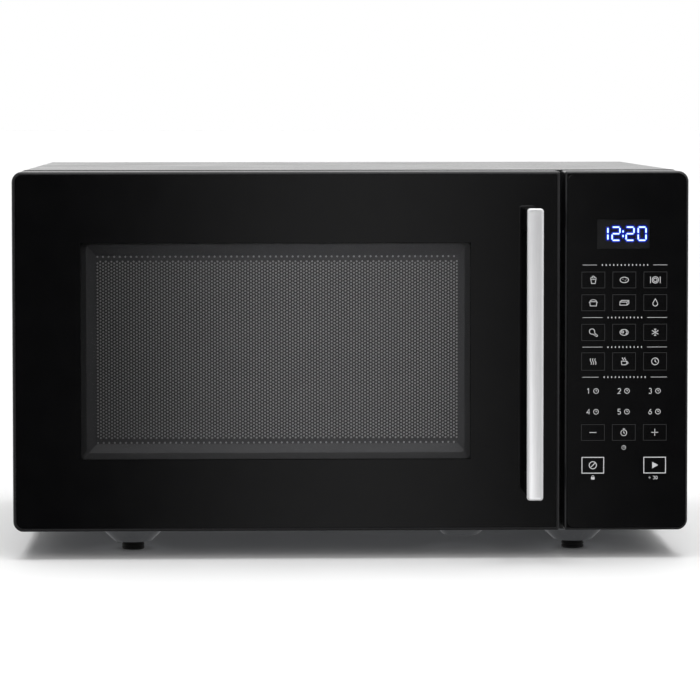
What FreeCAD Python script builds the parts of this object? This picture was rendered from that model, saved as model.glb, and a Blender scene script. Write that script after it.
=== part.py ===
import FreeCAD, Part
import Sketcher
import math
import os
from types import SimpleNamespace

# Countertop microwave oven, side-hinged door on the left, controls on the right. Millimetres.
# Front faces -Y, top is +Z, the origin is on the ground in the middle of the outline.

sizes = {
    # outline
    "width": 486, "height": 280, "depth": 397, "foot_rise": 20.5, "handle_reach": 35,
    "corner": 7.5, "edge_round": 1.5,
    # sheet metal and general clearances
    "sheet_metal": 0.7, "fit_gap": 0.2, "fine_round": 0.8,
    "screw_radius": 2, "screw_head": 3.6, "screw_proud": 2.2, "screw_long": 8,
    # casing
    "casing_inset": 3, "casing_proud": 0.5, "casing_bend": 5, "base_drop": 4,
    "vent_long": 26, "vent_high": 3, "vent_step": 8, "side_vent_start": 60, "side_vent_gap": 6,
    "rear_vent_gap": 4, "intake_left": 42, "intake_low": 36, "outlet_inset": 10, "outlet_rise": 2,
    "base_vent_inset": 22, "base_vent_start": 40, "base_vent_long": 50,
    # door
    "door_width": 393.5, "door_gap": 3.5, "door_thick": 30, "door_space": 2,
    "rim": 2.2, "glass_thick": 3.2, "glass_sink": 0.3,
    "stile_left": 17, "stile_right": 34, "rail": 15, "hinge_inset": 8, "opening_round": 3,
    # window
    "window_left": 49, "window_wide": 280, "window_low": 52, "window_high": 155.5,
    "window_round": 3, "mask_thick": 1.5, "bezel_wide": 2, "bezel_deep": 5, "bezel_round": 4,
    "screen_back": 10.4, "pan_wall": 1.5, "pan_deep": 14, "pan_round": 2, "sheet_margin": 3,
    "inner_sheet_thick": 1.2, "choke_wide": 24, "choke_thick": 3.2, "choke_round": 6,
    # hinges
    "hinge_offset": 20, "hinge_plate": 2, "hinge_arm": 7, "hinge_eye": 5, "hinge_slot": 4,
    "pin_radius": 2.5, "pin_gap": 0.08, "pin_long": 18, "hinge_tab": 20, "hinge_margin": 3, "eye_gap": 1.5,
    # handle
    "handle_wide": 11.6, "handle_long": 207.6, "handle_right": 15, "grip_thick": 4.2,
    "grip_round": 2, "grip_margin": 0.9, "core_deep": 10, "core_round": 1.5, "post_long": 17,
    "grasp_round": 4, "screw_bite": 8, "sink_gap": 1,
    # latch
    "latch_inset": 8.5, "latch_thick": 6, "latch_deep": 5, "latch_half": 82, "latch_lift": 4,
    "hook_half": 55, "hook_thick": 4, "hook_high": 8, "hook_reach": 21, "barb": 5,
    "latch_space": 1, "latch_play": 0.5,
    "slot_gap": 2, "spring_radius": 2.4, "spring_wall": 0.8, "spring_long": 20,
    # cavity
    "cavity_left": 31, "cavity_wide": 320, "cavity_floor": 50, "cavity_high": 200,
    "cavity_deep": 310, "cavity_corner": 12, "shaft_hole": 8,
    "hole_radius": 1.6, "hole_step": 6, "lamp_hole_inset": 12, "exhaust_setback": 60, "exhaust_drop": 50,
    # turntable
    "tray_radius": 135, "tray_thick": 4.2, "tray_rim": 10, "tray_slope": 12, "tray_gap": 0.35,
    "lip_half": 1, "lip_wide": 2.5, "tray_taper": 1.5,
    "ring_radius": 84, "ring_wide": 5, "ring_high": 6, "roller_radius": 7, "roller_wide": 7,
    "roller_gap": 0.6, "stub_radius": 1.5, "stub_gap": 0.08, "stub_tip": 2,
    "shaft_radius": 3.5, "shaft_gap": 0.08, "shaft_start": 6,
    "coupler_radius": 17, "coupler_high": 5, "coupler_hub": 4, "lobe_wide": 6,
    "motor_radius": 25, "motor_high": 20, "ear_half": 33, "ear_wide": 12, "ear_thick": 2,
    # control panel
    "panel_wall": 2.5, "panel_rim": 1.5, "fascia_thick": 2, "membrane_thick": 0.8,
    "display_left": 23, "display_wide": 38.4, "display_low": 203, "display_high": 21.6,
    "display_deep": 10, "hollow_round": 1, "wiring_inset": 22, "wiring_half": 60, "wiring_round": 6,
    "board_back": 15, "board_thick": 1.6, "board_margin": 9, "board_gap": 4, "board_space": 1,
    "post_radius": 3, "post_inset": 5, "post_root": 0.5,
    "supply_side": 30, "supply_inset": 12, "supply_low": 20,
    "relay_wide": 16, "relay_high": 20, "relay_inset": 6, "relay_low": 60, "relay_step": 30,
    "buzzer_radius": 9, "buzzer_high": 8, "buzzer_inset": 20, "buzzer_low": 120,
    # feet and base
    "foot_radius": 8.2, "foot_high": 6.5, "foot_left": 84, "foot_right": 77, "foot_setback": 28,
    "foot_round": 1, "stem_radius": 3.5, "stem_high": 4, "dome_top": 25.5, "dome_bottom": 14,
    "dimple_x": 83, "dimple_top": 21, "dimple_bottom": 13, "dimple_drop": 6,
    # cooling fan
    "fan_x": 180, "fan_z": 190, "fan_radius": 45, "fan_gap": 3, "fan_hub": 11, "fan_deep": 10,
    "fan_frame": 108, "fan_frame_deep": 14, "fan_frame_back": 30, "fan_motor_side": 44,
    "fan_motor_deep": 24, "fan_motor_gap": 6, "fan_shaft": 2, "fan_shaft_start": 6, "fan_bore_start": 4,
    "hub_setback": 2, "blade_thick": 1.4, "blade_wide": 18,
    "strap_wide": 8, "strap_thick": 2, "strap_foot": 4,
    # power parts in the right-hand bay
    "guide_wide": 30, "guide_front": 10, "guide_long": 90, "guide_low": 150, "guide_high": 70,
    "port_margin": 14, "port_round": 3, "mica_thick": 0.6, "mica_margin": 8,
    "tube_wide": 66, "tube_deep": 80, "antenna_radius": 8, "antenna_long": 20, "antenna_gap": 2,
    "fin_wall": 2, "fin_thick": 0.8, "anode_radius": 16,
    "core_inset": 18, "core_wide": 96, "core_long": 74, "core_high": 66, "core_leg": 16, "core_front": -70,
    "coil_proud": 14, "coil_gap": 1, "can_radius": 25, "can_high": 88, "can_x": 150, "can_y": 120,
    "terminal_radius": 2, "terminal_high": 8, "terminal_offset": 8,
    "clamp_thick": 1.5, "clamp_high": 14, "clamp_foot": 20, "clamp_lap": 2,
    "filter_inset": 20, "filter_rise": 24, "filter_wide": 60, "filter_high": 46, "filter_stand": 10,
    "filter_board": 2, "filter_post": 3, "filter_post_inset": 5,
    "inductor_wide": 20, "inductor_deep": 18, "inductor_high": 24, "inductor_inset": 6,
    "fuse_radius": 3, "fuse_long": 22, "fuse_left": 34, "fuse_low": 10, "fuse_seat": 1,
    # lamp, cut-out and interlock
    "lamp_gap": 4, "lamp_radius": 10, "lamp_long": 26, "lamp_y": 140, "lamp_z": 225,
    "socket_wide": 26, "socket_deep": 12,
    "cutout_setback": 40, "cutout_radius": 8, "cutout_high": 5, "cutout_ear": 14, "cutout_flange": 1,
    "cutout_ear_half": 5, "switch_long": 28, "switch_high": 16, "switch_wide": 10, "switch_bore": 8,
    "plunger_radius": 1.6, "plunger_proud": 2.2, "plunger_tail": 5, "plunger_gap": 0.5,
    "bracket_thick": 3, "bracket_gap": 1, "bracket_over": 24, "bracket_foot": 14, "bracket_reach": 4,
    # cord outlet
    "gland_radius": 8, "gland_bore": 4, "gland_flange": 11, "gland_inside": 12,
    "gland_x": 205, "gland_z": 60,
    "rear_proud": 3, "rear_screw_inset": 12,
}

# how many of each repeated thing, and the angles that are no length
sideVents, intakeVents, outletVents, baseVents = (4, 8), (3, 10), (5, 3), 7
holeGrid, finCount, bladeCount, bladePitch = (5, 5), 8, 5, 62
clear = 1  # how far outside its wall a cut starts and ends

vec = FreeCAD.Vector
doc = FreeCAD.newDocument("MicrowaveOven")
sheet = doc.addObject("Spreadsheet::Sheet", "Sizes")
for row, (name, value) in enumerate(sizes.items(), start=1):
    sheet.set(f"A{row}", name)
    sheet.set(f"B{row}", str(value))
    sheet.setAlias(f"B{row}", name)
doc.recompute()


class Size:
    """A length that keeps its value and the sheet formula that it comes from."""

    def __init__(self, value, text=None):
        self.value = value
        self.text = text or repr(value)

    def __add__(self, other):
        other = asSize(other)
        return Size(self.value + other.value, f"({self.text} + {other.text})")

    def __sub__(self, other):
        other = asSize(other)
        return Size(self.value - other.value, f"({self.text} - {other.text})")

    def __mul__(self, other):
        other = asSize(other)
        return Size(self.value * other.value, f"({self.text} * {other.text})")

    def __truediv__(self, other):
        other = asSize(other)
        return Size(self.value / other.value, f"({self.text} / {other.text})")

    def __neg__(self):
        return Size(-self.value, f"(0 - {self.text})")

    def __rsub__(self, other):
        return asSize(other) - self

    __radd__ = __add__
    __rmul__ = __mul__


def asSize(number):
    return number if isinstance(number, Size) else Size(float(number))


s = SimpleNamespace(**{name: Size(float(value), f"Sizes.{name}") for name, value in sizes.items()})
nodes = {}


def keep(label, item):
    """Name a finished piece; the name is also that of its file."""
    item.Label = label
    nodes[label] = item
    return item


def bind(item, prop, size):
    item.setExpression(prop, asSize(size).text)


def place(item, x, y, z, turn=FreeCAD.Rotation()):
    item.Placement = FreeCAD.Placement(vec(0, 0, 0), turn)
    for axis, size in zip("xyz", (x, y, z)):
        bind(item, "Placement.Base." + axis, size)
    return item


# ---- plain solids ----

def block(x, y, z):
    """A box from a (low, high) pair on each axis."""
    item = doc.addObject("Part::Box", "Block")
    for prop, (low, high) in zip(("Length", "Width", "Height"), (x, y, z)):
        bind(item, prop, high - low)
    return place(item, x[0], y[0], z[0])


turns = {
    "x": FreeCAD.Rotation(vec(0, 1, 0), 90),
    "y": FreeCAD.Rotation(vec(1, 0, 0), -90),
    "z": FreeCAD.Rotation(),
}


def rod(start, radius, length, axis="z"):
    """A cylinder that runs from its start point along +X, +Y, +Z or a given turn."""
    item = doc.addObject("Part::Cylinder", "Rod")
    bind(item, "Radius", radius)
    bind(item, "Height", length)
    return place(item, *start, turn=turns[axis] if isinstance(axis, str) else axis)


def cone(start, low, high, height):
    item = doc.addObject("Part::Cone", "Cone")
    bind(item, "Radius1", low)
    bind(item, "Radius2", high)
    bind(item, "Height", height)
    return place(item, *start)


def fuse(*items):
    item = doc.addObject("Part::MultiFuse", "Joined")
    item.Shapes = list(items)
    return item


def cut(base, *tools):
    item = doc.addObject("Part::Cut", "Trimmed")
    item.Base = base
    item.Tool = tools[0] if len(tools) == 1 else fuse(*tools)
    return item


def group(*items):
    item = doc.addObject("Part::Compound", "Group")
    item.Links = list(items)
    return item


# ---- sketched bodies ----

def startBody(label):
    return keep(label, doc.addObject("PartDesign::Body", label.title().replace("_", "")))


def sketchOn(body, role, out, across=0):
    """A sketch on one of the body's own planes, moved out along its normal and across."""
    sketch = body.newObject("Sketcher::SketchObject", body.Name + "Sketch")
    plane = next(item for item in body.Origin.OriginFeatures if item.Role == role)
    sketch.AttachmentSupport = [(plane, "")]
    sketch.MapMode = "FlatFace"
    bind(sketch, "AttachmentOffset.Base.z", out)
    bind(sketch, "AttachmentOffset.Base.x", across)
    return sketch


def pin(sketch, kind, *where):
    """One driven dimension: where ends with the size that sets it."""
    size = asSize(where[-1])
    index = sketch.addConstraint(Sketcher.Constraint(kind, *where[:-1], size.value))
    sketch.setExpression(f"Constraints[{index}]", size.text)


def rectangle(sketch, across, up, radii=(0, 0, 0, 0)):
    """A rectangle from (low, high) pairs; radii go low right, high right, high left, low left."""
    (left, right), (low, high) = [[asSize(end) for end in pair] for pair in (across, up)]
    radii = [asSize(radius) for radius in radii]
    corners = [(right, low, -1, 1), (right, high, -1, -1), (left, high, 1, -1), (left, low, 1, 1)]
    points = []
    for (x, y, inX, inY), radius in zip(corners, radii):
        centre = vec(x.value + inX * radius.value, y.value + inY * radius.value, 0)
        onSide = vec(x.value, centre.y, 0)
        onLevel = vec(centre.x, y.value, 0)
        points.append((centre, onSide, onLevel))
    lines = []
    for index in range(4):
        first, last = points[index - 1], points[index]
        pick = 2 if index % 2 == 0 else 1
        lines.append(sketch.addGeometry(Part.LineSegment(first[pick], last[pick]), False))
        sketch.addConstraint(Sketcher.Constraint("Vertical" if index % 2 else "Horizontal", lines[-1]))
    for index, radius in enumerate(radii):
        line, after = lines[index], lines[(index + 1) % 4]
        if radius.value:
            start = (index - 1) * math.pi / 2
            circle = Part.Circle(points[index][0], vec(0, 0, 1), radius.value)
            arc = sketch.addGeometry(Part.ArcOfCircle(circle, start, start + math.pi / 2), False)
            sketch.addConstraint(Sketcher.Constraint("Tangent", line, 2, arc, 1))
            sketch.addConstraint(Sketcher.Constraint("Tangent", arc, 2, after, 1))
            pin(sketch, "Radius", arc, radius)
        else:
            sketch.addConstraint(Sketcher.Constraint("Coincident", line, 2, after, 1))
    for line, kind, size in zip(lines, ("DistanceY", "DistanceX") * 2, (low, right, high, left)):
        pin(sketch, kind, -1, 1, line, 1, size)
    return sketch


def polygon(sketch, corners):
    corners = [(asSize(x), asSize(y)) for x, y in corners]
    spots = [vec(x.value, y.value, 0) for x, y in corners]
    lines = [sketch.addGeometry(Part.LineSegment(spots[i - 1], spots[i]), False)
             for i in range(len(spots))]
    for index, line in enumerate(lines):
        after = lines[(index + 1) % len(lines)]
        sketch.addConstraint(Sketcher.Constraint("Coincident", line, 2, after, 1))
        pin(sketch, "DistanceX", -1, 1, line, 2, corners[index][0])
        pin(sketch, "DistanceY", -1, 1, line, 2, corners[index][1])
    return sketch


def circle(sketch, x, y, radius):
    x, y, radius = asSize(x), asSize(y), asSize(radius)
    ring = sketch.addGeometry(Part.Circle(vec(x.value, y.value, 0), vec(0, 0, 1), radius.value), False)
    pin(sketch, "DistanceX", -1, 1, ring, 3, x)
    pin(sketch, "DistanceY", -1, 1, ring, 3, y)
    pin(sketch, "Radius", ring, radius)
    return sketch


def outsideArc(sketch, x, y, radius, margin=1):
    """The corner left and above a quarter circle about (x, y), with a margin outside it."""
    x, y, radius = asSize(x), asSize(y), asSize(radius)
    far, top = x - radius - margin, y + radius + margin
    ring = Part.Circle(vec(x.value, y.value, 0), vec(0, 0, 1), radius.value)
    arc = sketch.addGeometry(Part.ArcOfCircle(ring, math.pi / 2, math.pi), False)
    spots = [vec(x.value - radius.value, y.value, 0), vec(far.value, y.value, 0),
             vec(far.value, top.value, 0), vec(x.value, top.value, 0),
             vec(x.value, y.value + radius.value, 0)]
    lines = [sketch.addGeometry(Part.LineSegment(*spots[i:i + 2]), False) for i in range(4)]
    ends = [(arc, 2)] + [(line, 2) for line in lines]
    starts = [(line, 1) for line in lines] + [(arc, 1)]
    for end, start in zip(ends, starts):
        sketch.addConstraint(Sketcher.Constraint("Coincident", *end, *start))
    for line, kind in zip(lines, ("Horizontal", "Vertical") * 2):
        sketch.addConstraint(Sketcher.Constraint(kind, line))
    pin(sketch, "DistanceX", -1, 1, arc, 3, x)
    pin(sketch, "DistanceY", -1, 1, arc, 3, y)
    pin(sketch, "Radius", arc, radius)
    pin(sketch, "DistanceX", -1, 1, arc, 1, x)
    pin(sketch, "DistanceY", -1, 1, arc, 2, y)
    pin(sketch, "DistanceX", -1, 1, lines[0], 2, far)
    pin(sketch, "DistanceY", -1, 1, lines[1], 2, top)
    return sketch


def pad(body, sketch, length, against=True):
    """Thicken a sketch; against its plane's normal is towards the back for a front view."""
    feature = body.newObject("PartDesign::Pad", body.Name + "Pad")
    feature.Profile = sketch
    feature.Reversed = against
    bind(feature, "Length", length)
    body.Tip = feature
    doc.recompute()
    return feature


def pocket(body, sketch, length=None, along=False):
    """Cut a sketch into the body, against its plane's normal unless along is set."""
    before = body.Shape.Volume
    feature = body.newObject("PartDesign::Pocket", body.Name + "Pocket")
    feature.Profile = sketch
    feature.Reversed = along
    if length is None:
        feature.Type = "ThroughAll"
    else:
        bind(feature, "Length", length)
    body.Tip = feature
    doc.recompute()
    if body.Shape.Volume >= before:
        raise RuntimeError(f"{body.Label}: {feature.Name} cuts nothing")
    return feature


def revolve(body, sketch):
    feature = body.newObject("PartDesign::Revolution", body.Name + "Turned")
    feature.Profile = sketch
    feature.ReferenceAxis = (sketch, ["V_Axis"])
    feature.Angle = 360
    body.Tip = feature
    doc.recompute()
    return feature


def repeat(body, feature, across, up):
    """Copy a cut on a grid: each of across and up is (pitch, count)."""
    transforms = []
    for axis, (pitch, count) in (("H_Axis", across), ("V_Axis", up)):
        pattern = doc.addObject("PartDesign::LinearPattern", body.Name + "Row")
        pattern.Direction = (feature.Profile[0], [axis])
        bind(pattern, "Length", pitch * (count - 1))
        pattern.Occurrences = count
        body.addObject(pattern)
        transforms.append(pattern)
    grid = body.newObject("PartDesign::MultiTransform", body.Name + "Grid")
    grid.Originals = [feature]
    grid.Transformations = transforms
    body.Tip = grid
    doc.recompute()
    return grid


def soften(body, radius, wanted, axis=None):
    """Round the edges whose ends all pass a test, and that run along an axis if one is named."""
    names = []
    for index, edge in enumerate(body.Shape.Edges, start=1):
        box = edge.BoundBox
        spans = {"x": box.XLength, "y": box.YLength, "z": box.ZLength}
        straight = axis is None or spans[axis] > sum(spans.values()) - 0.01
        if straight and all(wanted(vertex.Point) for vertex in edge.Vertexes):
            names.append(f"Edge{index}")
    base = body.Tip
    feature = body.newObject("PartDesign::Fillet", body.Name + "Fillet")
    feature.Base = (base, names)
    bind(feature, "Radius", radius)
    body.Tip = feature
    doc.recompute()
    return feature


def near(value, size):
    return abs(value - asSize(size).value) < 0.01


# ---- shared places ----

left, right = -s.width / 2, s.width / 2
rearmost = s.depth / 2
back = rearmost - s.rear_proud
face = -s.depth / 2 + s.handle_reach
faceLow, faceHigh = s.foot_rise, s.height - s.casing_proud
middle = (faceLow + faceHigh) / 2
doorRight = left + s.door_width
panelLeft = doorRight + s.door_gap
doorBack = face + s.door_thick
front = doorBack + s.door_space
behindFront = front + s.sheet_metal
caseLeft, caseRight = left + s.casing_inset, right - s.casing_inset
caseLow, caseHigh = faceLow - s.base_drop, s.height
innerLeft, innerRight = caseLeft + s.sheet_metal, caseRight - s.sheet_metal
innerLow, innerHigh = caseLow + s.sheet_metal, caseHigh - s.sheet_metal
innerBack = back - s.sheet_metal
through = s.sheet_metal + 2 * clear
ventRound = [s.vent_high / 2.01] * 4  # just under half, so that a short straight is left at each end
cavityLeft, cavityLow = left + s.cavity_left, s.cavity_floor
cavityRight, cavityHigh = cavityLeft + s.cavity_wide, cavityLow + s.cavity_high
cavityBack = behindFront + s.cavity_deep
cavityX, cavityY = (cavityLeft + cavityRight) / 2, (behindFront + cavityBack) / 2
bayLeft = cavityRight + s.sheet_metal
pivotX, pivotY = left + s.hinge_inset, doorBack - s.hinge_inset
hingeHeights = (faceHigh - s.hinge_offset, faceLow + s.hinge_offset)
openLeft, openRight = left + s.stile_left, doorRight - s.stile_right
openLow, openHigh = faceLow + s.rail, faceHigh - s.rail
windowLeft, windowLow = left + s.window_left, faceLow + s.window_low
windowRight, windowTop = windowLeft + s.window_wide, windowLow + s.window_high
handleX = doorRight - s.handle_right - s.handle_wide / 2
handleLow, handleTop = middle - s.handle_long / 2, middle + s.handle_long / 2
postZs = (handleLow + s.post_long / 2, handleTop - s.post_long / 2)
latchX = doorRight - s.latch_inset
hookZs = (middle + s.hook_half, middle - s.hook_half)
hookTip = doorBack + s.hook_reach
glassBack = face + s.glass_sink + s.glass_thick

# ---- casing, base and rear ----

casing = startBody("outer_casing")
wrap = sketchOn(casing, "XZ_Plane", -front)
polygon(wrap, [
    (caseLeft, caseLow), (caseLeft, caseHigh), (caseRight, caseHigh), (caseRight, caseLow),
    (innerRight, caseLow), (innerRight, innerHigh), (innerLeft, innerHigh), (innerLeft, caseLow),
])
pad(casing, wrap, back - front)
soften(casing, s.casing_bend - s.sheet_metal, lambda p: near(p.z, innerHigh) and
       (near(p.x, innerLeft) or near(p.x, innerRight)), "y")
soften(casing, s.casing_bend, lambda p: near(p.z, caseHigh) and
       (near(p.x, caseLeft) or near(p.x, caseRight)), "y")
for side, along in ((caseRight + clear, False), (caseLeft - clear, True)):
    slot = sketchOn(casing, "YZ_Plane", side)
    start = s.side_vent_start
    rectangle(slot, (start, start + s.vent_long), (middle, middle + s.vent_high), ventRound)
    repeat(casing, pocket(casing, slot, through, along),
           (s.vent_long + s.side_vent_gap, sideVents[0]), (s.vent_step, sideVents[1]))

footXs = (left + s.foot_left, right - s.foot_right)
footYs = (front + s.foot_setback, innerBack - s.foot_setback)
domeLow = s.foot_high
basePlate = block((innerLeft, innerRight), (front, innerBack), (caseLow, innerLow))
holes, domes = [], []


def dome(x, y, topRadius, bottomRadius, low, hole):
    """A cup pressed down out of the base: a cone skin with a flat bottom and a hole."""
    height, thick = innerLow - low, s.sheet_metal
    holes.append(rod((x, y, caseLow), topRadius - thick, thick))
    outer = cone((x, y, low), bottomRadius, topRadius, height)
    inner = cone((x, y, low + thick), bottomRadius - thick, topRadius - thick, height - thick)
    domes.append(cut(outer, inner, rod((x, y, low), hole, thick)) if hole else cut(outer, inner))


for footX in footXs:
    for footY in footYs:
        dome(footX, footY, s.dome_top, s.dome_bottom, domeLow, s.stem_radius)
dome(s.dimple_x, front + s.foot_setback, s.dimple_top, s.dimple_bottom, caseLow - s.dimple_drop, 0)
slotY = footYs[0] + s.base_vent_start
for index in range(baseVents):
    slotX = bayLeft + s.base_vent_inset + s.vent_step * index
    holes.append(block((slotX, slotX + s.vent_high), (slotY, slotY + s.base_vent_long),
                       (caseLow, innerLow)))
keep("base_plate", fuse(cut(basePlate, *holes), *domes))

footSpots = [(f"foot_{end}_{side}", footX, footY) for end, footY in zip(("front", "rear"), footYs)
             for side, footX in zip(("left", "right"), footXs)]
for name, footX, footY in footSpots:
    foot = startBody(name)
    outline = sketchOn(foot, "XZ_Plane", -footY, footX)
    polygon(outline, [
        (0, 0), (s.foot_radius - s.foot_round, 0), (s.foot_radius, s.foot_round),
        (s.foot_radius, s.foot_high), (s.stem_radius, s.foot_high),
        (s.stem_radius, s.foot_high + s.stem_high), (0, s.foot_high + s.stem_high),
    ])
    revolve(foot, outline)

rear = startBody("rear_panel")
rearOutline = sketchOn(rear, "XZ_Plane", -innerBack)
rectangle(rearOutline, (innerLeft, innerRight), (caseLow, innerHigh),
          (0, s.casing_bend - s.sheet_metal, s.casing_bend - s.sheet_metal, 0))
pad(rear, rearOutline, s.sheet_metal)
ventStarts = (((s.fan_x - s.intake_left, s.fan_z - s.intake_low), intakeVents),
              ((cavityLeft + s.outlet_inset, cavityHigh + s.outlet_rise), outletVents))
for (ventX, ventZ), (across, up) in ventStarts:
    slot = sketchOn(rear, "XZ_Plane", -(innerBack - clear))
    rectangle(slot, (ventX, ventX + s.vent_long), (ventZ, ventZ + s.vent_high), ventRound)
    repeat(rear, pocket(rear, slot, through), (s.vent_long + s.rear_vent_gap, across), (s.vent_step, up))
glandHole = sketchOn(rear, "XZ_Plane", -(innerBack - clear))
circle(glandHole, s.gland_x, s.gland_z, s.gland_radius)
pocket(rear, glandHole, through)

screwXs = (innerLeft + s.rear_screw_inset, cavityRight, innerRight - s.rear_screw_inset)
screwZs = (innerLow + s.rear_screw_inset, innerHigh - s.rear_screw_inset)
screwSpots = [(x, z) for x in screwXs for z in screwZs]
screwHoles = sketchOn(rear, "XZ_Plane", -(innerBack - clear))
for x, z in screwSpots:
    circle(screwHoles, x, z, s.screw_radius)
pocket(rear, screwHoles, through)
keep("rear_screws", group(*[
    fuse(rod((x, back - s.screw_long, z), s.screw_radius, s.screw_long, "y"),
         rod((x, back, z), s.screw_head, s.screw_proud, "y")) for x, z in screwSpots]))

glandStart = innerBack - s.gland_inside
keep("cord_gland", cut(
    fuse(rod((s.gland_x, glandStart, s.gland_z), s.gland_radius, rearmost - glandStart, "y"),
         rod((s.gland_x, glandStart, s.gland_z), s.gland_flange, s.gland_inside, "y")),
    rod((s.gland_x, glandStart, s.gland_z), s.gland_bore, rearmost - glandStart, "y")))

# ---- front plate, cavity and hinges ----

plate = startBody("front_plate")
plateOutline = sketchOn(plate, "XZ_Plane", -front)
rectangle(plateOutline, (innerLeft, innerRight), (innerLow, innerHigh),
          (0, s.casing_bend - s.sheet_metal, s.casing_bend - s.sheet_metal, 0))
pad(plate, plateOutline, s.sheet_metal)
mouth = sketchOn(plate, "XZ_Plane", -front)
rectangle(mouth, (cavityLeft, cavityRight), (cavityLow, cavityHigh), [s.cavity_corner] * 4)
pocket(plate, mouth)
for hookZ in hookZs:
    slot = sketchOn(plate, "XZ_Plane", -front)
    half = s.hook_thick / 2 + s.slot_gap
    above, below = s.hook_high / 2 + s.latch_lift + s.slot_gap, s.hook_high / 2 + s.barb + s.slot_gap
    rectangle(slot, (latchX - half, latchX + half), (hookZ - below, hookZ + above))
    pocket(plate, slot)
for hingeZ in hingeHeights:
    slot = sketchOn(plate, "XZ_Plane", -front)
    half, plateHalf = s.hinge_arm / 2, s.hinge_plate / 2
    rectangle(slot, (pivotX - half, pivotX + half), (hingeZ - plateHalf, hingeZ + plateHalf))
    pocket(plate, slot)
wiring = sketchOn(plate, "XZ_Plane", -front)
rectangle(wiring, (panelLeft + s.wiring_inset, right - s.wiring_inset),
          (middle - s.wiring_half, middle + s.wiring_half), [s.wiring_round] * 4)
pocket(plate, wiring)

liner = startBody("cavity_liner")
linerOutline = sketchOn(liner, "XZ_Plane", -behindFront)
thick = s.sheet_metal
rectangle(linerOutline, (cavityLeft - thick, cavityRight + thick),
          (cavityLow - thick, cavityHigh + thick), [s.cavity_corner + thick] * 4)
pad(liner, linerOutline, s.cavity_deep + thick)
hollow = sketchOn(liner, "XZ_Plane", -behindFront)
rectangle(hollow, (cavityLeft, cavityRight), (cavityLow, cavityHigh), [s.cavity_corner] * 4)
pocket(liner, hollow, s.cavity_deep)
shaftHole = sketchOn(liner, "XY_Plane", cavityLow + clear)
circle(shaftHole, cavityX, cavityY, s.shaft_hole)
pocket(liner, shaftHole, through)
portLow, portHigh = s.guide_low + s.port_margin, s.guide_low + s.guide_high - s.port_margin
portFront, portBack = s.guide_front + s.port_margin, s.guide_front + s.guide_long - s.port_margin
port = sketchOn(liner, "YZ_Plane", cavityRight + thick + clear)
rectangle(port, (portFront, portBack), (portLow, portHigh), [s.port_round] * 4)
pocket(liner, port, through)
lampHoles = (s.lamp_y - s.lamp_hole_inset, s.lamp_z - s.lamp_hole_inset)
exhaustHoles = (cavityBack - s.exhaust_setback, cavityHigh - s.exhaust_drop)
for wall, along, (startY, startZ) in ((cavityRight + thick + clear, False, lampHoles),
                                      (cavityLeft - thick - clear, True, exhaustHoles)):
    vent = sketchOn(liner, "YZ_Plane", wall)
    circle(vent, startY, startZ, s.hole_radius)
    repeat(liner, pocket(liner, vent, through, along), (s.hole_step, holeGrid[0]), (s.hole_step, holeGrid[1]))

for name, hingeZ in zip(("upper_hinge", "lower_hinge"), hingeHeights):
    low, high = hingeZ - s.hinge_plate / 2, hingeZ + s.hinge_plate / 2
    half = s.hinge_arm / 2
    tabLow, tabHigh = (low, hingeZ + s.hinge_tab) if name == "lower_hinge" else (hingeZ - s.hinge_tab, high)
    keep(name, cut(
        fuse(block((pivotX - half, pivotX + half), (pivotY, behindFront + s.hinge_plate), (low, high)),
             rod((pivotX, pivotY, low), s.hinge_eye, s.hinge_plate),
             block((pivotX - half, cavityLeft - s.hinge_margin), (behindFront, behindFront + s.hinge_plate),
                   (tabLow, tabHigh))),
        rod((pivotX, pivotY, low), s.pin_radius + s.pin_gap, s.hinge_plate)))

# ---- door ----

frame = startBody("door_frame")
frameOutline = sketchOn(frame, "XZ_Plane", -face)
rectangle(frameOutline, (left, doorRight), (faceLow, faceHigh),
          (s.edge_round, s.edge_round, s.corner, s.corner))
pad(frame, frameOutline, s.door_thick)
hingeRound = sketchOn(frame, "XY_Plane", faceLow - clear)
outsideArc(hingeRound, pivotX, pivotY, s.hinge_inset)
pocket(frame, hingeRound, along=True)
soften(frame, s.edge_round, lambda p: near(p.y, face))
seat = sketchOn(frame, "XZ_Plane", -face)
inner = s.corner - s.rim
rectangle(seat, (left + s.rim, doorRight - s.rim), (faceLow + s.rim, faceHigh - s.rim),
          (s.fine_round, s.fine_round, inner, inner))
pocket(frame, seat, s.glass_sink + s.glass_thick)
opening = sketchOn(frame, "XZ_Plane", -face)
rectangle(opening, (openLeft, openRight), (openLow, openHigh), [s.opening_round] * 4)
pocket(frame, opening)
barFront = doorBack - s.latch_deep - s.latch_space
channel = sketchOn(frame, "XZ_Plane", -(barFront - s.latch_space))
channelHalf = s.latch_thick / 2 + s.latch_play
channelTop = middle + s.latch_half + s.spring_long
rectangle(channel, (latchX - channelHalf, latchX + channelHalf),
          (middle - s.latch_half - s.latch_space, channelTop))
pocket(frame, channel)
for postZ in postZs:
    bore = sketchOn(frame, "XZ_Plane", -face)
    circle(bore, handleX, postZ, s.screw_radius + s.fit_gap)
    pocket(frame, bore)
    sink = sketchOn(frame, "XZ_Plane", -(face + s.door_thick / 2))
    circle(sink, handleX, postZ, s.screw_head + s.sink_gap)
    pocket(frame, sink)
for hingeZ in hingeHeights:
    notch = sketchOn(frame, "XY_Plane", hingeZ - s.hinge_slot / 2)
    reach = s.hinge_eye + s.eye_gap
    rectangle(notch, (left - clear, pivotX + reach), (pivotY - reach, doorBack + clear))
    pocket(frame, notch, s.hinge_slot, True)
    pinHole = sketchOn(frame, "XY_Plane", hingeZ - s.pin_long / 2)
    circle(pinHole, pivotX, pivotY, s.pin_radius)
    pocket(frame, pinHole, s.pin_long, True)

keep("hinge_pins", group(*[rod((pivotX, pivotY, hingeZ - s.pin_long / 2), s.pin_radius, s.pin_long)
                           for hingeZ in hingeHeights]))

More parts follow.
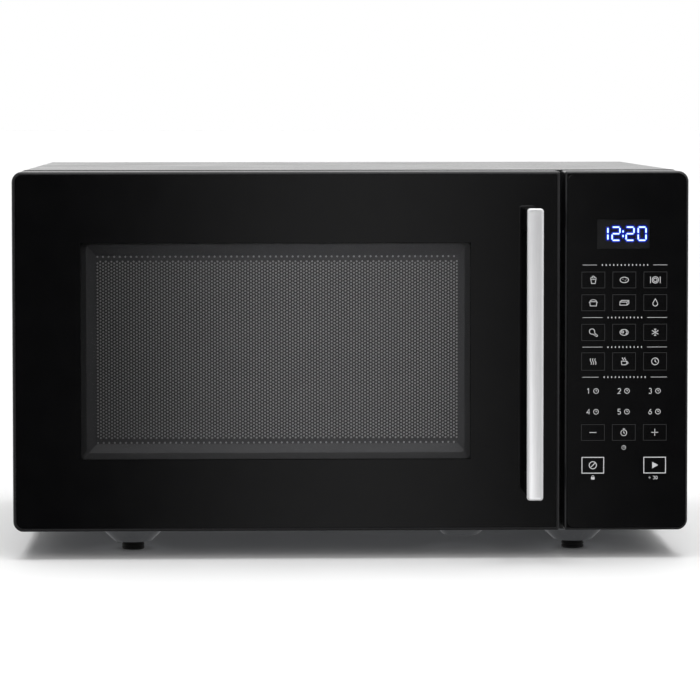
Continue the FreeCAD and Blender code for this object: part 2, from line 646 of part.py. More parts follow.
glass = startBody("door_glass")
glassOutline = sketchOn(glass, "XZ_Plane", -(face + s.glass_sink))
gap = s.rim + s.fit_gap
rectangle(glassOutline, (left + gap, doorRight - gap), (faceLow + gap, faceHigh - gap),
          (s.fine_round, s.fine_round, s.corner - gap, s.corner - gap))
pad(glass, glassOutline, s.glass_thick)
for postZ in postZs:
    bore = sketchOn(glass, "XZ_Plane", -face)
    circle(bore, handleX, postZ, s.screw_radius + s.fit_gap)
    pocket(glass, bore)

mask = startBody("window_mask")
maskOutline = sketchOn(mask, "XZ_Plane", -glassBack)
gap = s.fit_gap
openingBox = ((openLeft + gap, openRight - gap), (openLow + gap, openHigh - gap), [s.opening_round] * 4)
rectangle(maskOutline, *openingBox)
pad(mask, maskOutline, s.mask_thick)
bezel = sketchOn(mask, "XZ_Plane", -glassBack)
rectangle(bezel, (windowLeft - s.bezel_wide, windowRight + s.bezel_wide),
          (windowLow - s.bezel_wide, windowTop + s.bezel_wide), [s.bezel_round] * 4)
pad(mask, bezel, s.bezel_deep)
view = sketchOn(mask, "XZ_Plane", -glassBack)
rectangle(view, (windowLeft, windowRight), (windowLow, windowTop), [s.window_round] * 4)
pocket(mask, view)

pan = startBody("screen_pan")
panFront = face + s.screen_back
panOutline = sketchOn(pan, "XZ_Plane", -panFront)
rectangle(panOutline, *openingBox)
pad(pan, panOutline, s.pan_deep)
dish = sketchOn(pan, "XZ_Plane", -(panFront + s.sheet_metal))
side = gap + s.pan_wall
rectangle(dish, (openLeft + side, openRight - side), (openLow + side, openHigh - side), [s.pan_round] * 4)
pocket(pan, dish)

sheetFront = panFront + s.sheet_metal
innerSheet = startBody("inner_window")
sheetOutline = sketchOn(innerSheet, "XZ_Plane", -sheetFront)
margin = s.sheet_margin
rectangle(sheetOutline, (windowLeft - margin, windowRight + margin),
          (windowLow - margin, windowTop + margin), [s.bezel_round] * 4)
pad(innerSheet, sheetOutline, s.inner_sheet_thick)

choke = startBody("choke_cover")
chokeFront = panFront + s.pan_deep
chokeOutline = sketchOn(choke, "XZ_Plane", -chokeFront)
rectangle(chokeOutline, *openingBox)
pad(choke, chokeOutline, s.choke_thick)
chokeOpen = sketchOn(choke, "XZ_Plane", -chokeFront)
ring = s.choke_wide
rectangle(chokeOpen, (openLeft + ring, openRight - ring), (openLow + ring, openHigh - ring),
          [s.choke_round] * 4)
pocket(choke, chokeOpen)

# ---- handle ----

handleFront = -s.depth / 2
half = s.handle_wide / 2
grip = startBody("handle_grip")
gripOutline = sketchOn(grip, "XZ_Plane", -handleFront)
rectangle(gripOutline, (handleX - half, handleX + half), (handleLow, handleTop), [s.grip_round] * 4)
pad(grip, gripOutline, s.grip_thick)
soften(grip, s.edge_round, lambda p: near(p.y, handleFront))

core = startBody("handle_core")
coreHalf = half - s.grip_margin
coreFront = handleFront + s.grip_thick
coreOutline = sketchOn(core, "XZ_Plane", -coreFront)
rectangle(coreOutline, (handleX - coreHalf, handleX + coreHalf),
          (handleLow + s.grip_margin, handleTop - s.grip_margin), [s.core_round] * 4)
pad(core, coreOutline, face + s.glass_sink - coreFront)
grasp = sketchOn(core, "YZ_Plane", handleX + half)
rectangle(grasp, (coreFront + s.core_deep, face + s.glass_sink + clear),
          (handleLow + s.post_long, handleTop - s.post_long), (0, 0, s.grasp_round, s.grasp_round))
pocket(core, grasp)
screwStart = coreFront + s.screw_bite
for postZ in postZs:
    bore = sketchOn(core, "XZ_Plane", -screwStart)
    circle(bore, handleX, postZ, s.screw_radius)
    pocket(core, bore)

screwSeat = face + s.door_thick / 2
keep("handle_screws", group(*[
    fuse(rod((handleX, screwStart, postZ), s.screw_radius, screwSeat - screwStart, "y"),
         rod((handleX, screwSeat, postZ), s.screw_head, s.screw_proud, "y")) for postZ in postZs]))

# ---- latch ----

thickHalf = s.latch_thick / 2
hookHalf = s.hook_thick / 2
latchPieces = [block((latchX - thickHalf, latchX + thickHalf), (barFront, barFront + s.latch_deep),
                     (middle - s.latch_half, middle + s.latch_half))]
for hookZ in hookZs:
    low, high = hookZ - s.hook_high / 2, hookZ + s.hook_high / 2
    latchPieces.append(block((latchX - hookHalf, latchX + hookHalf),
                             (barFront, hookTip), (low, high)))
    latchPieces.append(block((latchX - hookHalf, latchX + hookHalf),
                             (hookTip - s.hook_high, hookTip), (low - s.barb, high)))
keep("door_latch", fuse(*latchPieces))
springStart = (latchX, barFront + s.latch_deep / 2, middle + s.latch_half)
keep("latch_spring", cut(rod(springStart, s.spring_radius, s.spring_long),
                         rod(springStart, s.spring_radius - s.spring_wall, s.spring_long)))

# ---- control panel ----

housing = startBody("control_housing")
housingOutline = sketchOn(housing, "XZ_Plane", -face)
rectangle(housingOutline, (panelLeft, right), (faceLow, faceHigh),
          (s.corner, s.corner, s.edge_round, s.edge_round))
pad(housing, housingOutline, front - face)
soften(housing, s.edge_round, lambda p: near(p.y, face))
recess = sketchOn(housing, "XZ_Plane", -face)
rim = s.panel_rim
inner = s.corner - rim
rectangle(recess, (panelLeft + rim, right - rim), (faceLow + rim, faceHigh - rim),
          (inner, inner, s.fine_round, s.fine_round))
recessDeep = s.glass_sink + s.fascia_thick + s.membrane_thick
pocket(housing, recess, recessDeep)
wallBack = face + recessDeep + s.panel_wall
hollow = sketchOn(housing, "XZ_Plane", -wallBack)
wall = s.panel_wall
inner = s.corner - wall
rectangle(hollow, (panelLeft + wall, right - wall), (faceLow + wall, faceHigh - wall),
          (inner, inner, s.hollow_round, s.hollow_round))
pocket(housing, hollow)
displayLeft, displayLow = panelLeft + s.display_left, faceLow + s.display_low
displayRight, displayTop = displayLeft + s.display_wide, displayLow + s.display_high
displayBox = ((displayLeft, displayRight), (displayLow, displayTop))
screen = sketchOn(housing, "XZ_Plane", -face)
rectangle(screen, *displayBox)
pocket(housing, screen)
boardLeft, boardRight = panelLeft + s.board_margin, right - s.board_margin
boardLow, boardHigh = faceLow + s.board_margin, displayLow - s.board_gap
postSpots = [(x, z) for x in (boardLeft + s.post_inset, boardRight - s.post_inset)
             for z in (boardLow + s.post_inset, boardHigh - s.post_inset)]
boardFront = face + s.board_back
for x, z in postSpots:
    boss = sketchOn(housing, "XZ_Plane", -(wallBack - s.post_root))
    circle(boss, x, z, s.post_radius)
    pad(housing, boss, boardFront - wallBack + s.post_root)

fascia = startBody("control_fascia")
fasciaOutline = sketchOn(fascia, "XZ_Plane", -(face + s.glass_sink))
gap = s.panel_rim + s.fit_gap
inner = s.corner - gap
fasciaBox = ((panelLeft + gap, right - gap), (faceLow + gap, faceHigh - gap))
fasciaRound = (inner, inner, s.fine_round, s.fine_round)
rectangle(fasciaOutline, *fasciaBox, fasciaRound)
pad(fascia, fasciaOutline, s.fascia_thick)

membraneFront = face + s.glass_sink + s.fascia_thick
membrane = startBody("keypad_membrane")
membraneOutline = sketchOn(membrane, "XZ_Plane", -membraneFront)
rectangle(membraneOutline, *fasciaBox, fasciaRound)
pad(membrane, membraneOutline, s.membrane_thick)
screen = sketchOn(membrane, "XZ_Plane", -membraneFront)
rectangle(screen, *displayBox)
pocket(membrane, screen)

gap = s.fit_gap
keep("display_module", block((displayLeft + gap, displayRight - gap),
                             (membraneFront, membraneFront + s.display_deep),
                             (displayLow + gap, displayTop - gap)))
keep("control_board", block((boardLeft, boardRight), (boardFront, boardFront + s.board_thick),
                            (boardLow, boardHigh)))
boardBack = boardFront + s.board_thick
partsSpan = (boardBack, front - s.board_space)
supplyLeft, supplyLow = boardLeft + s.supply_inset, boardLow + s.supply_low
relayRight = boardRight - s.relay_inset
relayLows = [boardLow + s.relay_low + s.relay_step * index for index in range(2)]
keep("board_parts", group(
    block((supplyLeft, supplyLeft + s.supply_side), partsSpan, (supplyLow, supplyLow + s.supply_side)),
    *[block((relayRight - s.relay_wide, relayRight), partsSpan, (low, low + s.relay_high))
      for low in relayLows],
    rod((boardLeft + s.buzzer_inset, boardBack, boardLow + s.buzzer_low),
        s.buzzer_radius, s.buzzer_high, "y")))

# ---- interlock ----

bracketX = latchX + hookHalf + s.slot_gap + s.bracket_gap
switchFront = hookTip + s.plunger_gap + s.plunger_proud
bracketSpan = (hookZs[1] - s.bracket_over, hookZs[0] + s.bracket_over)
keep("interlock_bracket", fuse(
    block((bracketX, bracketX + s.bracket_thick),
          (behindFront, switchFront + s.switch_high + s.bracket_reach), bracketSpan),
    block((bracketX, bracketX + s.bracket_foot), (behindFront, behindFront + s.bracket_thick), bracketSpan)))
for name, hookZ in zip(("upper", "lower"), hookZs):
    bodyBox = block((bracketX - s.switch_wide, bracketX), (switchFront, switchFront + s.switch_high),
                    (hookZ - s.switch_long / 2, hookZ + s.switch_long / 2))
    keep(f"{name}_switch", cut(bodyBox, rod((latchX, switchFront, hookZ),
                                            s.plunger_radius + s.pin_gap, s.switch_bore, "y")))
    keep(f"{name}_plunger", rod((latchX, switchFront - s.plunger_proud, hookZ),
                                s.plunger_radius, s.plunger_proud + s.plunger_tail, "y"))

# ---- turntable ----

rollerZ = cavityLow + s.roller_radius + s.tray_gap
trayLow = rollerZ + s.roller_radius + s.tray_gap
tray = startBody("glass_tray")
trayOutline = sketchOn(tray, "XZ_Plane", -cavityY, cavityX)
flat = s.tray_radius - s.tray_slope
rimLow, rimHigh = trayLow + s.tray_rim - s.lip_half, trayLow + s.tray_rim + s.lip_half
polygon(trayOutline, [
    (0, trayLow), (flat, trayLow), (s.tray_radius, rimLow), (s.tray_radius, rimHigh),
    (s.tray_radius - s.lip_wide, rimHigh), (flat - s.tray_taper, trayLow + s.tray_thick),
    (0, trayLow + s.tray_thick),
])
revolve(tray, trayOutline)

motorHigh = cavityLow - s.sheet_metal
motorLow = motorHigh - s.motor_high
shaftLow = motorLow + s.shaft_start
couplerLow = trayLow - s.coupler_high
lobes = [rod((cavityX, cavityY, couplerLow), s.shaft_radius + s.coupler_hub, s.coupler_high),
         rod((cavityX, cavityY, shaftLow), s.shaft_radius, couplerLow - shaftLow)]
for index in range(3):
    lobe = doc.addObject("Part::Box", "Lobe")
    bind(lobe, "Length", s.coupler_radius)
    bind(lobe, "Width", s.lobe_wide)
    bind(lobe, "Height", s.coupler_high)
    angle = math.radians(120 * index)
    lobeHalf = s.lobe_wide / 2
    place(lobe, cavityX + lobeHalf * math.sin(angle), cavityY - lobeHalf * math.cos(angle), couplerLow,
          FreeCAD.Rotation(vec(0, 0, 1), 120 * index))
    lobes.append(lobe)
keep("drive_coupler", fuse(*lobes))
keep("turntable_motor", cut(
    fuse(rod((cavityX, cavityY, motorLow), s.motor_radius, s.motor_high),
         block((cavityX - s.ear_half, cavityX + s.ear_half),
               (cavityY - s.ear_wide / 2, cavityY + s.ear_wide / 2), (motorHigh - s.ear_thick, motorHigh))),
    rod((cavityX, cavityY, shaftLow), s.shaft_radius + s.shaft_gap, motorHigh - shaftLow)))

ringLow = rollerZ - s.ring_high / 2
ringDisc = rod((cavityX, cavityY, ringLow), s.ring_radius, s.ring_high)
ringHole = rod((cavityX, cavityY, ringLow), s.ring_radius - s.ring_wide, s.ring_high)
stubs = []


def outFromCentre(distance, angle):
    return cavityX + distance * math.cos(angle), cavityY + distance * math.sin(angle), rollerZ


for index in range(3):
    angle = math.radians(90 + 120 * index)
    turn = FreeCAD.Rotation(vec(0, 0, 1), vec(math.cos(angle), math.sin(angle), 0))
    stubs.append(rod(outFromCentre(s.ring_radius - s.ring_wide / 2, angle), s.stub_radius,
                     s.ring_wide / 2 + s.roller_wide + s.stub_tip, turn))
    spot = outFromCentre(s.ring_radius + s.roller_gap, angle)
    keep(f"roller_{index + 1}", cut(rod(spot, s.roller_radius, s.roller_wide, turn),
                                    rod(spot, s.stub_radius + s.stub_gap, s.roller_wide, turn)))
keep("roller_ring", fuse(cut(ringDisc, ringHole), *stubs))

# ---- microwave source in the right-hand bay ----

guideBack = s.guide_front + s.guide_long
guideTop = s.guide_low + s.guide_high
guideRight = bayLeft + s.guide_wide
tubeY, tubeZ = (s.guide_front + guideBack) / 2, (s.guide_low + guideTop) / 2
keep("waveguide", cut(
    block((bayLeft, guideRight), (s.guide_front, guideBack), (s.guide_low, guideTop)),
    block((bayLeft, guideRight - thick), (s.guide_front + thick, guideBack - thick),
          (s.guide_low + thick, guideTop - thick)),
    rod((guideRight - thick, tubeY, tubeZ), s.antenna_radius + s.antenna_gap, thick, "x")))
keep("waveguide_cover", block((cavityRight - s.mica_thick, cavityRight),
                              (portFront - s.mica_margin, portBack + s.mica_margin),
                              (portLow - s.mica_margin, portHigh + s.mica_margin)))
tubeBox = ((guideRight, guideRight + s.tube_wide),
           (tubeY - s.tube_deep / 2, tubeY + s.tube_deep / 2), (s.guide_low, guideTop))
finBox = ((guideRight + s.fin_wall, guideRight + s.tube_wide - s.fin_wall), tubeBox[1],
          (s.guide_low + s.fin_wall, guideTop - s.fin_wall))
keep("magnetron_yoke", fuse(cut(block(*tubeBox), block(*finBox)),
                            rod((guideRight - s.antenna_long, tubeY, tubeZ), s.antenna_radius,
                                s.antenna_long + s.fin_wall, "x")))
finSpan = s.tube_wide - s.fin_wall * 2
finXs = [guideRight + s.fin_wall + finSpan / (finCount + 1) * (index + 1) for index in range(finCount)]
finHalf = s.fin_thick / 2
keep("magnetron_fins", fuse(
    rod((guideRight + s.fin_wall, tubeY, tubeZ), s.anode_radius, finSpan, "x"),
    *[block((x - finHalf, x + finHalf), tubeBox[1], finBox[2]) for x in finXs]))

coreLeft = bayLeft + s.core_inset
coreBox = ((coreLeft, coreLeft + s.core_wide), (s.core_front, s.core_front + s.core_long),
           (innerLow, innerLow + s.core_high))
leg = s.core_leg
limb = (s.core_wide - leg * 4) / 2
windows = [(coreLeft + leg, coreLeft + leg + limb),
           (coreLeft + leg * 3 + limb, coreLeft + leg * 3 + limb * 2)]
windowZ = (innerLow + leg, innerLow + s.core_high - leg)
keep("transformer_core", cut(block(*coreBox), *[block(x, coreBox[1], windowZ) for x in windows]))
coilX = (windows[0][0] + s.coil_gap, windows[1][1] - s.coil_gap)
coilY = (s.core_front - s.coil_proud, s.core_front + s.core_long + s.coil_proud)
limbX = (windows[0][1], windows[1][0])
split = (windowZ[0] + windowZ[1]) / 2
coilSpans = ((windowZ[0] + s.coil_gap, split - s.coil_gap), (split + s.coil_gap, windowZ[1] - s.coil_gap))
keep("transformer_coils", group(*[
    cut(block(coilX, coilY, span), block(limbX, coreBox[1], windowZ)) for span in coilSpans]))

canTop = innerLow + s.can_high
keep("capacitor", fuse(
    rod((s.can_x, s.can_y, innerLow), s.can_radius, s.can_high),
    *[rod((s.can_x + offset, s.can_y, canTop), s.terminal_radius, s.terminal_high)
      for offset in (-s.terminal_offset, s.terminal_offset)]))
clampLow = innerLow + s.can_high / 3
clampOut = s.can_radius + s.clamp_thick
keep("capacitor_clamp", cut(
    fuse(rod((s.can_x, s.can_y, clampLow), clampOut, s.clamp_high),
         block((s.can_x + s.can_radius - s.clamp_lap, s.can_x + clampOut), (s.can_y, s.can_y + s.clamp_foot),
               (innerLow, clampLow + s.clamp_high))),
    rod((s.can_x, s.can_y, innerLow), s.can_radius, clampLow + s.clamp_high - innerLow)))

# ---- cooling fan ----

fanBack = innerBack - s.fan_frame_back / 2
fanFront = fanBack - s.fan_frame_deep
halfFrame = s.fan_frame / 2
keep("fan_shroud", cut(
    block((s.fan_x - halfFrame, s.fan_x + halfFrame), (fanFront, innerBack),
          (s.fan_z - halfFrame, s.fan_z + halfFrame)),
    rod((s.fan_x, fanFront, s.fan_z), s.fan_radius + s.fan_gap, innerBack - fanFront, "y")))
motorBack = fanFront - s.fan_motor_gap
motorFront = motorBack - s.fan_motor_deep
motorHalf = s.fan_motor_side / 2
hubFront = fanFront + s.hub_setback
keep("fan_motor", cut(
    block((s.fan_x - motorHalf, s.fan_x + motorHalf), (motorFront, motorBack),
          (s.fan_z - motorHalf, s.fan_z + motorHalf)),
    rod((s.fan_x, motorFront + s.fan_bore_start, s.fan_z), s.fan_shaft + s.pin_gap,
        s.fan_motor_deep - s.fan_bore_start, "y")))
strapHalf = s.strap_wide / 2
straps = []
for sign in (-1, 1):
    x = s.fan_x + sign * (motorHalf - strapHalf)
    straps.append(block((x - strapHalf, x + strapHalf), (motorBack, motorBack + s.strap_thick),
                        (s.fan_z - halfFrame, s.fan_z + halfFrame)))
    for z in (s.fan_z - halfFrame, s.fan_z + halfFrame - s.strap_foot):
        straps.append(block((x - strapHalf, x + strapHalf), (motorBack, fanFront), (z, z + s.strap_foot)))
keep("fan_bracket", group(fuse(*straps[:3]), fuse(*straps[3:])))
fanShaftStart = motorFront + s.fan_shaft_start
blades = [rod((s.fan_x, hubFront, s.fan_z), s.fan_hub, s.fan_deep, "y"),
          rod((s.fan_x, fanShaftStart, s.fan_z), s.fan_shaft, hubFront - fanShaftStart, "y")]
for index in range(bladeCount):
    blade = doc.addObject("Part::Box", "Blade")
    bind(blade, "Length", s.fan_radius - s.fan_hub / 2)
    bind(blade, "Width", s.blade_thick)
    bind(blade, "Height", s.blade_wide)
    swing = FreeCAD.Rotation(vec(0, 1, 0), 360 / bladeCount * index)
    pitch = FreeCAD.Rotation(vec(1, 0, 0), bladePitch)
    turn = swing.multiply(pitch)
    offset = turn.multVec(vec(sizes["fan_hub"] / 2, -sizes["blade_thick"] / 2, -sizes["blade_wide"] / 2))
    place(blade, s.fan_x + offset.x, hubFront + s.fan_deep / 2 + offset.y, s.fan_z + offset.z, turn)
    blades.append(blade)
keep("fan_blade", fuse(*blades))

# ---- lamp, cut-out, mains filter ----

lampX, socketHalf = bayLeft + s.lamp_gap, s.socket_wide / 2
socketX = lampX + s.lamp_long
keep("lamp_holder", block((socketX, socketX + s.socket_deep), (s.lamp_y - socketHalf, s.lamp_y + socketHalf),
                          (s.lamp_z - socketHalf, s.lamp_z + socketHalf)))
keep("cavity_lamp", rod((lampX, s.lamp_y, s.lamp_z), s.lamp_radius, s.lamp_long, "x"))
cutoutY = s.guide_front - s.cutout_setback
keep("thermal_cutout", fuse(
    rod((bayLeft, cutoutY, tubeZ), s.cutout_radius, s.cutout_high, "x"),
    block((bayLeft, bayLeft + s.cutout_flange), (cutoutY - s.cutout_ear, cutoutY + s.cutout_ear),
          (tubeZ - s.cutout_ear_half, tubeZ + s.cutout_ear_half))))

filterLeft, filterLow = bayLeft + s.filter_inset, s.gland_z + s.filter_rise
filterRight, filterTop = filterLeft + s.filter_wide, filterLow + s.filter_high
filterBack = innerBack - s.filter_stand
filterFront = filterBack - s.filter_board
inductorLeft, inductorLow = filterLeft + s.inductor_inset, filterLow + s.inductor_inset
filterPosts = [(x, z) for x in (filterLeft + s.filter_post_inset, filterRight - s.filter_post_inset)
               for z in (filterLow + s.filter_post_inset, filterTop - s.filter_post_inset)]
keep("line_filter", fuse(
    block((filterLeft, filterRight), (filterFront, filterBack), (filterLow, filterTop)),
    block((inductorLeft, inductorLeft + s.inductor_wide), (filterFront - s.inductor_deep, filterFront),
          (inductorLow, inductorLow + s.inductor_high)),
    rod((filterLeft + s.fuse_left, filterBack - s.filter_board - s.fuse_radius + s.fuse_seat,
         filterLow + s.fuse_low), s.fuse_radius, s.fuse_long, "x"),
    *[rod((x, filterBack, z), s.filter_post, s.filter_stand, "y") for x, z in filterPosts]))

# ---- checks and files ----

doc.recompute()
os.makedirs("parts", exist_ok=True)
broken = [item.Name for item in doc.Objects if "Invalid" in item.State or "Error" in item.State]
if broken:
    raise RuntimeError(f"failed: {broken}")
for label, item in nodes.items():
    if item.Shape.isNull() or not item.Shape.isValid():
        raise RuntimeError(f"{label} has no sound shape")
for label, item in nodes.items():
    item.Shape.exportStep(f"parts/{label}.step")
print(len(nodes), "nodes")
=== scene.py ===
import math
import bmesh
import bpy
import numpy as np
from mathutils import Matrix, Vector


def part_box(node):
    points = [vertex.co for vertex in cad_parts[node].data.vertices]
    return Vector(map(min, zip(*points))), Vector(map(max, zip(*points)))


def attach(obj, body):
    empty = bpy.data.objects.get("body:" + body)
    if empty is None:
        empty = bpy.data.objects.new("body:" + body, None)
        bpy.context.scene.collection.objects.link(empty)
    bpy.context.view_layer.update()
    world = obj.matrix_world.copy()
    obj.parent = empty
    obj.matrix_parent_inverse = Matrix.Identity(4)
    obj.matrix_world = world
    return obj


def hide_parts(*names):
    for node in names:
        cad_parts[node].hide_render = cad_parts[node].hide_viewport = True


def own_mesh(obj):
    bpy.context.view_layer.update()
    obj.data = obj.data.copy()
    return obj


# Countertop microwave oven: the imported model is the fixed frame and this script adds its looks. Metres.
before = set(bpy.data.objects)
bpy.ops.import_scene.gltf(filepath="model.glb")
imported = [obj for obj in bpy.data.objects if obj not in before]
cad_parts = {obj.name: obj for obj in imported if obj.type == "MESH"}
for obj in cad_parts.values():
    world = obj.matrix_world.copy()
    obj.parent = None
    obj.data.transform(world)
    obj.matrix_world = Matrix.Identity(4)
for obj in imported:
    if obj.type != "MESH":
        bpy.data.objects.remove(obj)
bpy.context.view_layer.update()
scene = bpy.context.scene
scene.view_settings.view_transform = "Standard"
mm = 0.001

camera = {"place": (-0.0734, -2.4271, 0.3262), "pitch": -2.515, "yaw": -1.208, "roll": 0.049,
          "lens": 162.44, "shift": (0.05, -0.15)}


def shown(name, data):
    # a new object of the scene, at the origin
    made = bpy.data.objects.new(name, data)
    scene.collection.objects.link(made)
    return made


def placeCamera(look):
    # looks along +Y, tipped by the pitch and turned by the yaw, in degrees
    eye = shown("camera", bpy.data.cameras.new("camera"))
    eye.data.lens = look["lens"]
    eye.data.shift_x, eye.data.shift_y = look["shift"]
    eye.data.clip_end = 100
    eye.location = look["place"]
    eye.rotation_euler = [math.radians(angle) for angle in (90 + look["pitch"], look["roll"], look["yaw"])]
    scene.camera = eye


placeCamera(camera)
print("camera ready")


def toPiece(name, points, faces, finish, body=None, replaces=(), slot=None, smooth=True, sharp=35):
    # one mesh at the origin that rides on a body and takes the finish it is given; the slot is not used
    mesh = bpy.data.meshes.new(name)
    mesh.from_pydata(np.asarray(points, float).tolist(), [], [list(face) for face in faces])
    mesh.update()
    piece = shown(name, mesh)
    mesh.materials.append(finishes[finish])
    if smooth:
        mesh.polygons.foreach_set("use_smooth", np.ones(len(mesh.polygons), bool))
        mesh.set_sharp_from_angle(angle=math.radians(sharp))
    if body:
        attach(piece, body)
    if replaces:
        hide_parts(*replaces)
    return piece


def gridFaces(rows, columns):
    # quads between neighbouring rows, each row's last point joined to its first
    i, j = np.meshgrid(np.arange(rows - 1), np.arange(columns), indexing="ij")
    k = (j + 1) % columns
    quads = np.stack([i * columns + j, i * columns + k, (i + 1) * columns + k, (i + 1) * columns + j], -1)
    return quads.reshape(-1, 4).tolist()


def outwards(piece, merge=1e-7):
    # doubles merged first, then every face turned to the outside
    work = bmesh.new()
    work.from_mesh(piece.data)
    bmesh.ops.remove_doubles(work, verts=work.verts, dist=merge)
    bmesh.ops.recalc_face_normals(work, faces=work.faces)
    work.to_mesh(piece.data)
    work.free()
    return piece


def roundedRing(centre, half, radius, y, perCorner=8):
    # rounded rectangle seen from the front: corner centre plus radius times (cos, sin), at depth y
    turn = np.linspace(0, math.pi / 2, perCorner)
    angle = (np.arange(4)[:, None] * math.pi / 2 + turn).ravel()
    signX, signZ = np.repeat([1, -1, -1, 1], perCorner), np.repeat([1, 1, -1, -1], perCorner)
    x = centre[0] + signX * (half[0] - radius) + radius * np.cos(angle)
    z = centre[1] + signZ * (half[1] - radius) + radius * np.sin(angle)
    return np.column_stack([x, np.full(len(x), y), z])


def loft(name, rings, finish, body, caps=(False, False), **facts):
    # rings joined one after the other; a cap closes the first or the last
    count = len(rings[0])
    faces = gridFaces(len(rings), count)
    if caps[0]:
        faces.append(list(range(count)))
    if caps[1]:
        faces.append([(len(rings) - 1) * count + k for k in range(count)])
    return outwards(toPiece(name, np.concatenate(rings), faces, finish, body, **facts))


def turned(name, profile, centre, finish, body, steps, **facts):
    # (radius, height) points swept round the upright line at centre
    profile = np.asarray(profile, float)
    angle = np.linspace(0, 2 * math.pi, steps, endpoint=False)
    x = centre[0] + profile[:, :1] * np.cos(angle)
    y = centre[1] + profile[:, :1] * np.sin(angle)
    z = np.repeat(profile[:, 1:], steps, axis=1)
    points = np.stack([x, y, z], -1).reshape(-1, 3)
    return outwards(toPiece(name, points, gridFaces(len(profile), steps), finish, body, **facts))


def arcOf(x, y, radius, start=0.0, end=360.0, squash=1.0, steps=20):
    # points at (x + radius cos, y + radius squash sin)
    angle = np.radians(np.linspace(start, end, steps, endpoint=abs(end - start) < 360))
    return np.stack([x + radius * np.cos(angle), y + radius * squash * np.sin(angle)], -1)


def newGroup(name, inputs, outputs):
    # an empty group with named inputs, each a number or a vector, and named number outputs
    group = bpy.data.node_groups.new(name, "ShaderNodeTree")
    for label, value in inputs.items():
        kind = "NodeSocketVector" if isinstance(value, tuple) else "NodeSocketFloat"
        group.interface.new_socket(label, in_out="INPUT", socket_type=kind).default_value = value
    for label in outputs:
        group.interface.new_socket(label, in_out="OUTPUT", socket_type="NodeSocketFloat")
    return group, group.nodes.new("NodeGroupInput"), group.nodes.new("NodeGroupOutput")


def fed(tree, socket, value):
    # a socket takes a value, or a link from another node's output
    if isinstance(value, bpy.types.NodeSocket):
        tree.links.new(value, socket)
    else:
        socket.default_value = value


def added(tree, kind, **inputs):
    # one shader node with some of its inputs fed; _ stands for a space in an input's name
    node = tree.nodes.new("ShaderNode" + kind)
    for name, value in inputs.items():
        fed(tree, node.inputs[name.replace("_", " ")], value)
    return node


def placeOf(tree):
    # place on the object, in metres
    return added(tree, "TexCoord").outputs["Object"]


def ranged(tree, value, low, high, fromLow=0.0, fromHigh=1.0, smooth=False):
    # value in fromLow to fromHigh becomes low to high, in a straight line or a smooth step
    node = added(tree, "MapRange", Value=value, From_Min=fromLow, From_Max=fromHigh, To_Min=low, To_Max=high)
    node.interpolation_type = "SMOOTHSTEP" if smooth else "LINEAR"
    return node.outputs["Result"]


def worked(tree, operation, *values):
    # one Math node; each value is a number or another node's output
    node = tree.nodes.new("ShaderNodeMath")
    node.operation = operation
    for socket, value in zip(node.inputs, values):
        fed(tree, socket, value)
    return node.outputs[0]


def buildGrain():
    # fine noise on object coordinates, stretched along an axis, and broad patches, both from 0 to 1
    group, entry, leave = newGroup("surfaceGrain", {"Stretch": (1, 1, 1), "Scale": 400.0},
                                   ("Grain", "Patches"))
    place, squeeze = placeOf(group), group.nodes.new("ShaderNodeVectorMath")
    squeeze.operation = "MULTIPLY"
    group.links.new(place, squeeze.inputs[0])
    group.links.new(entry.outputs["Stretch"], squeeze.inputs[1])
    fine = added(group, "TexNoise", Vector=squeeze.outputs[0], Scale=entry.outputs["Scale"], Detail=3)
    broad = added(group, "TexNoise", Vector=place, Scale=14, Detail=4)
    for noise, label in ((fine, "Grain"), (broad, "Patches")):
        group.links.new(ranged(group, noise.outputs["Fac"], 0, 1, 0.3, 0.7), leave.inputs[label])
    return group


def buildCells():
    # a flat random value for each cell, as on zinc spangle or mica, and the distance from its middle
    group, entry, leave = newGroup("crystalCells", {"Scale": 90.0}, ("Cell", "Middle"))
    cells = added(group, "TexVoronoi", Vector=placeOf(group), Scale=entry.outputs["Scale"])
    split = added(group, "SeparateColor", Color=cells.outputs["Color"])
    group.links.new(split.outputs[0], leave.inputs["Cell"])
    group.links.new(cells.outputs["Distance"], leave.inputs["Middle"])
    return group


def buildDust():
    # dust lies on faces that look up, broken up by noise
    group, entry, leave = newGroup("lyingDust", {"Amount": 0.1}, ("Dust",))
    split = added(group, "SeparateXYZ", Vector=added(group, "NewGeometry").outputs["Normal"])
    noise = added(group, "TexNoise", Vector=placeOf(group), Scale=60, Detail=6)
    upward = ranged(group, split.outputs["Z"], 0, 1, 0.3, 1)
    broken = worked(group, "MULTIPLY", upward, ranged(group, noise.outputs["Fac"], 0.2, 1, 0.35, 0.65))
    group.links.new(worked(group, "MULTIPLY", broken, entry.outputs["Amount"]), leave.inputs["Dust"])
    return group


grainGroup, cellGroup, dustGroup = buildGrain(), buildCells(), buildDust()


def placed(tree, group, **values):
    # a group's own copy in a material, with its values
    node = tree.nodes.new("ShaderNodeGroup")
    node.node_tree = group
    for socket, value in values.items():
        node.inputs[socket].default_value = value
    return node.outputs


def mixed(tree, factor, first, second):
    # from the first colour to the second as the factor goes from 0 to 1
    node = tree.nodes.new("ShaderNodeMix")
    node.data_type = "RGBA"
    tree.links.new(factor, node.inputs["Factor"])
    for socket, colour in ((node.inputs[6], first), (node.inputs[7], second)):
        fed(tree, socket, (*colour, 1) if isinstance(colour, tuple) else colour)
    return node.outputs[2]


common = {"patchShare": 0.6, "grainShare": 0.4, "bumpDeep": 0.2 * mm, "speckCore": 0.6, "paintedShadeStart": 0.02,
          "dustColour": (0.35, 0.34, 0.32)}


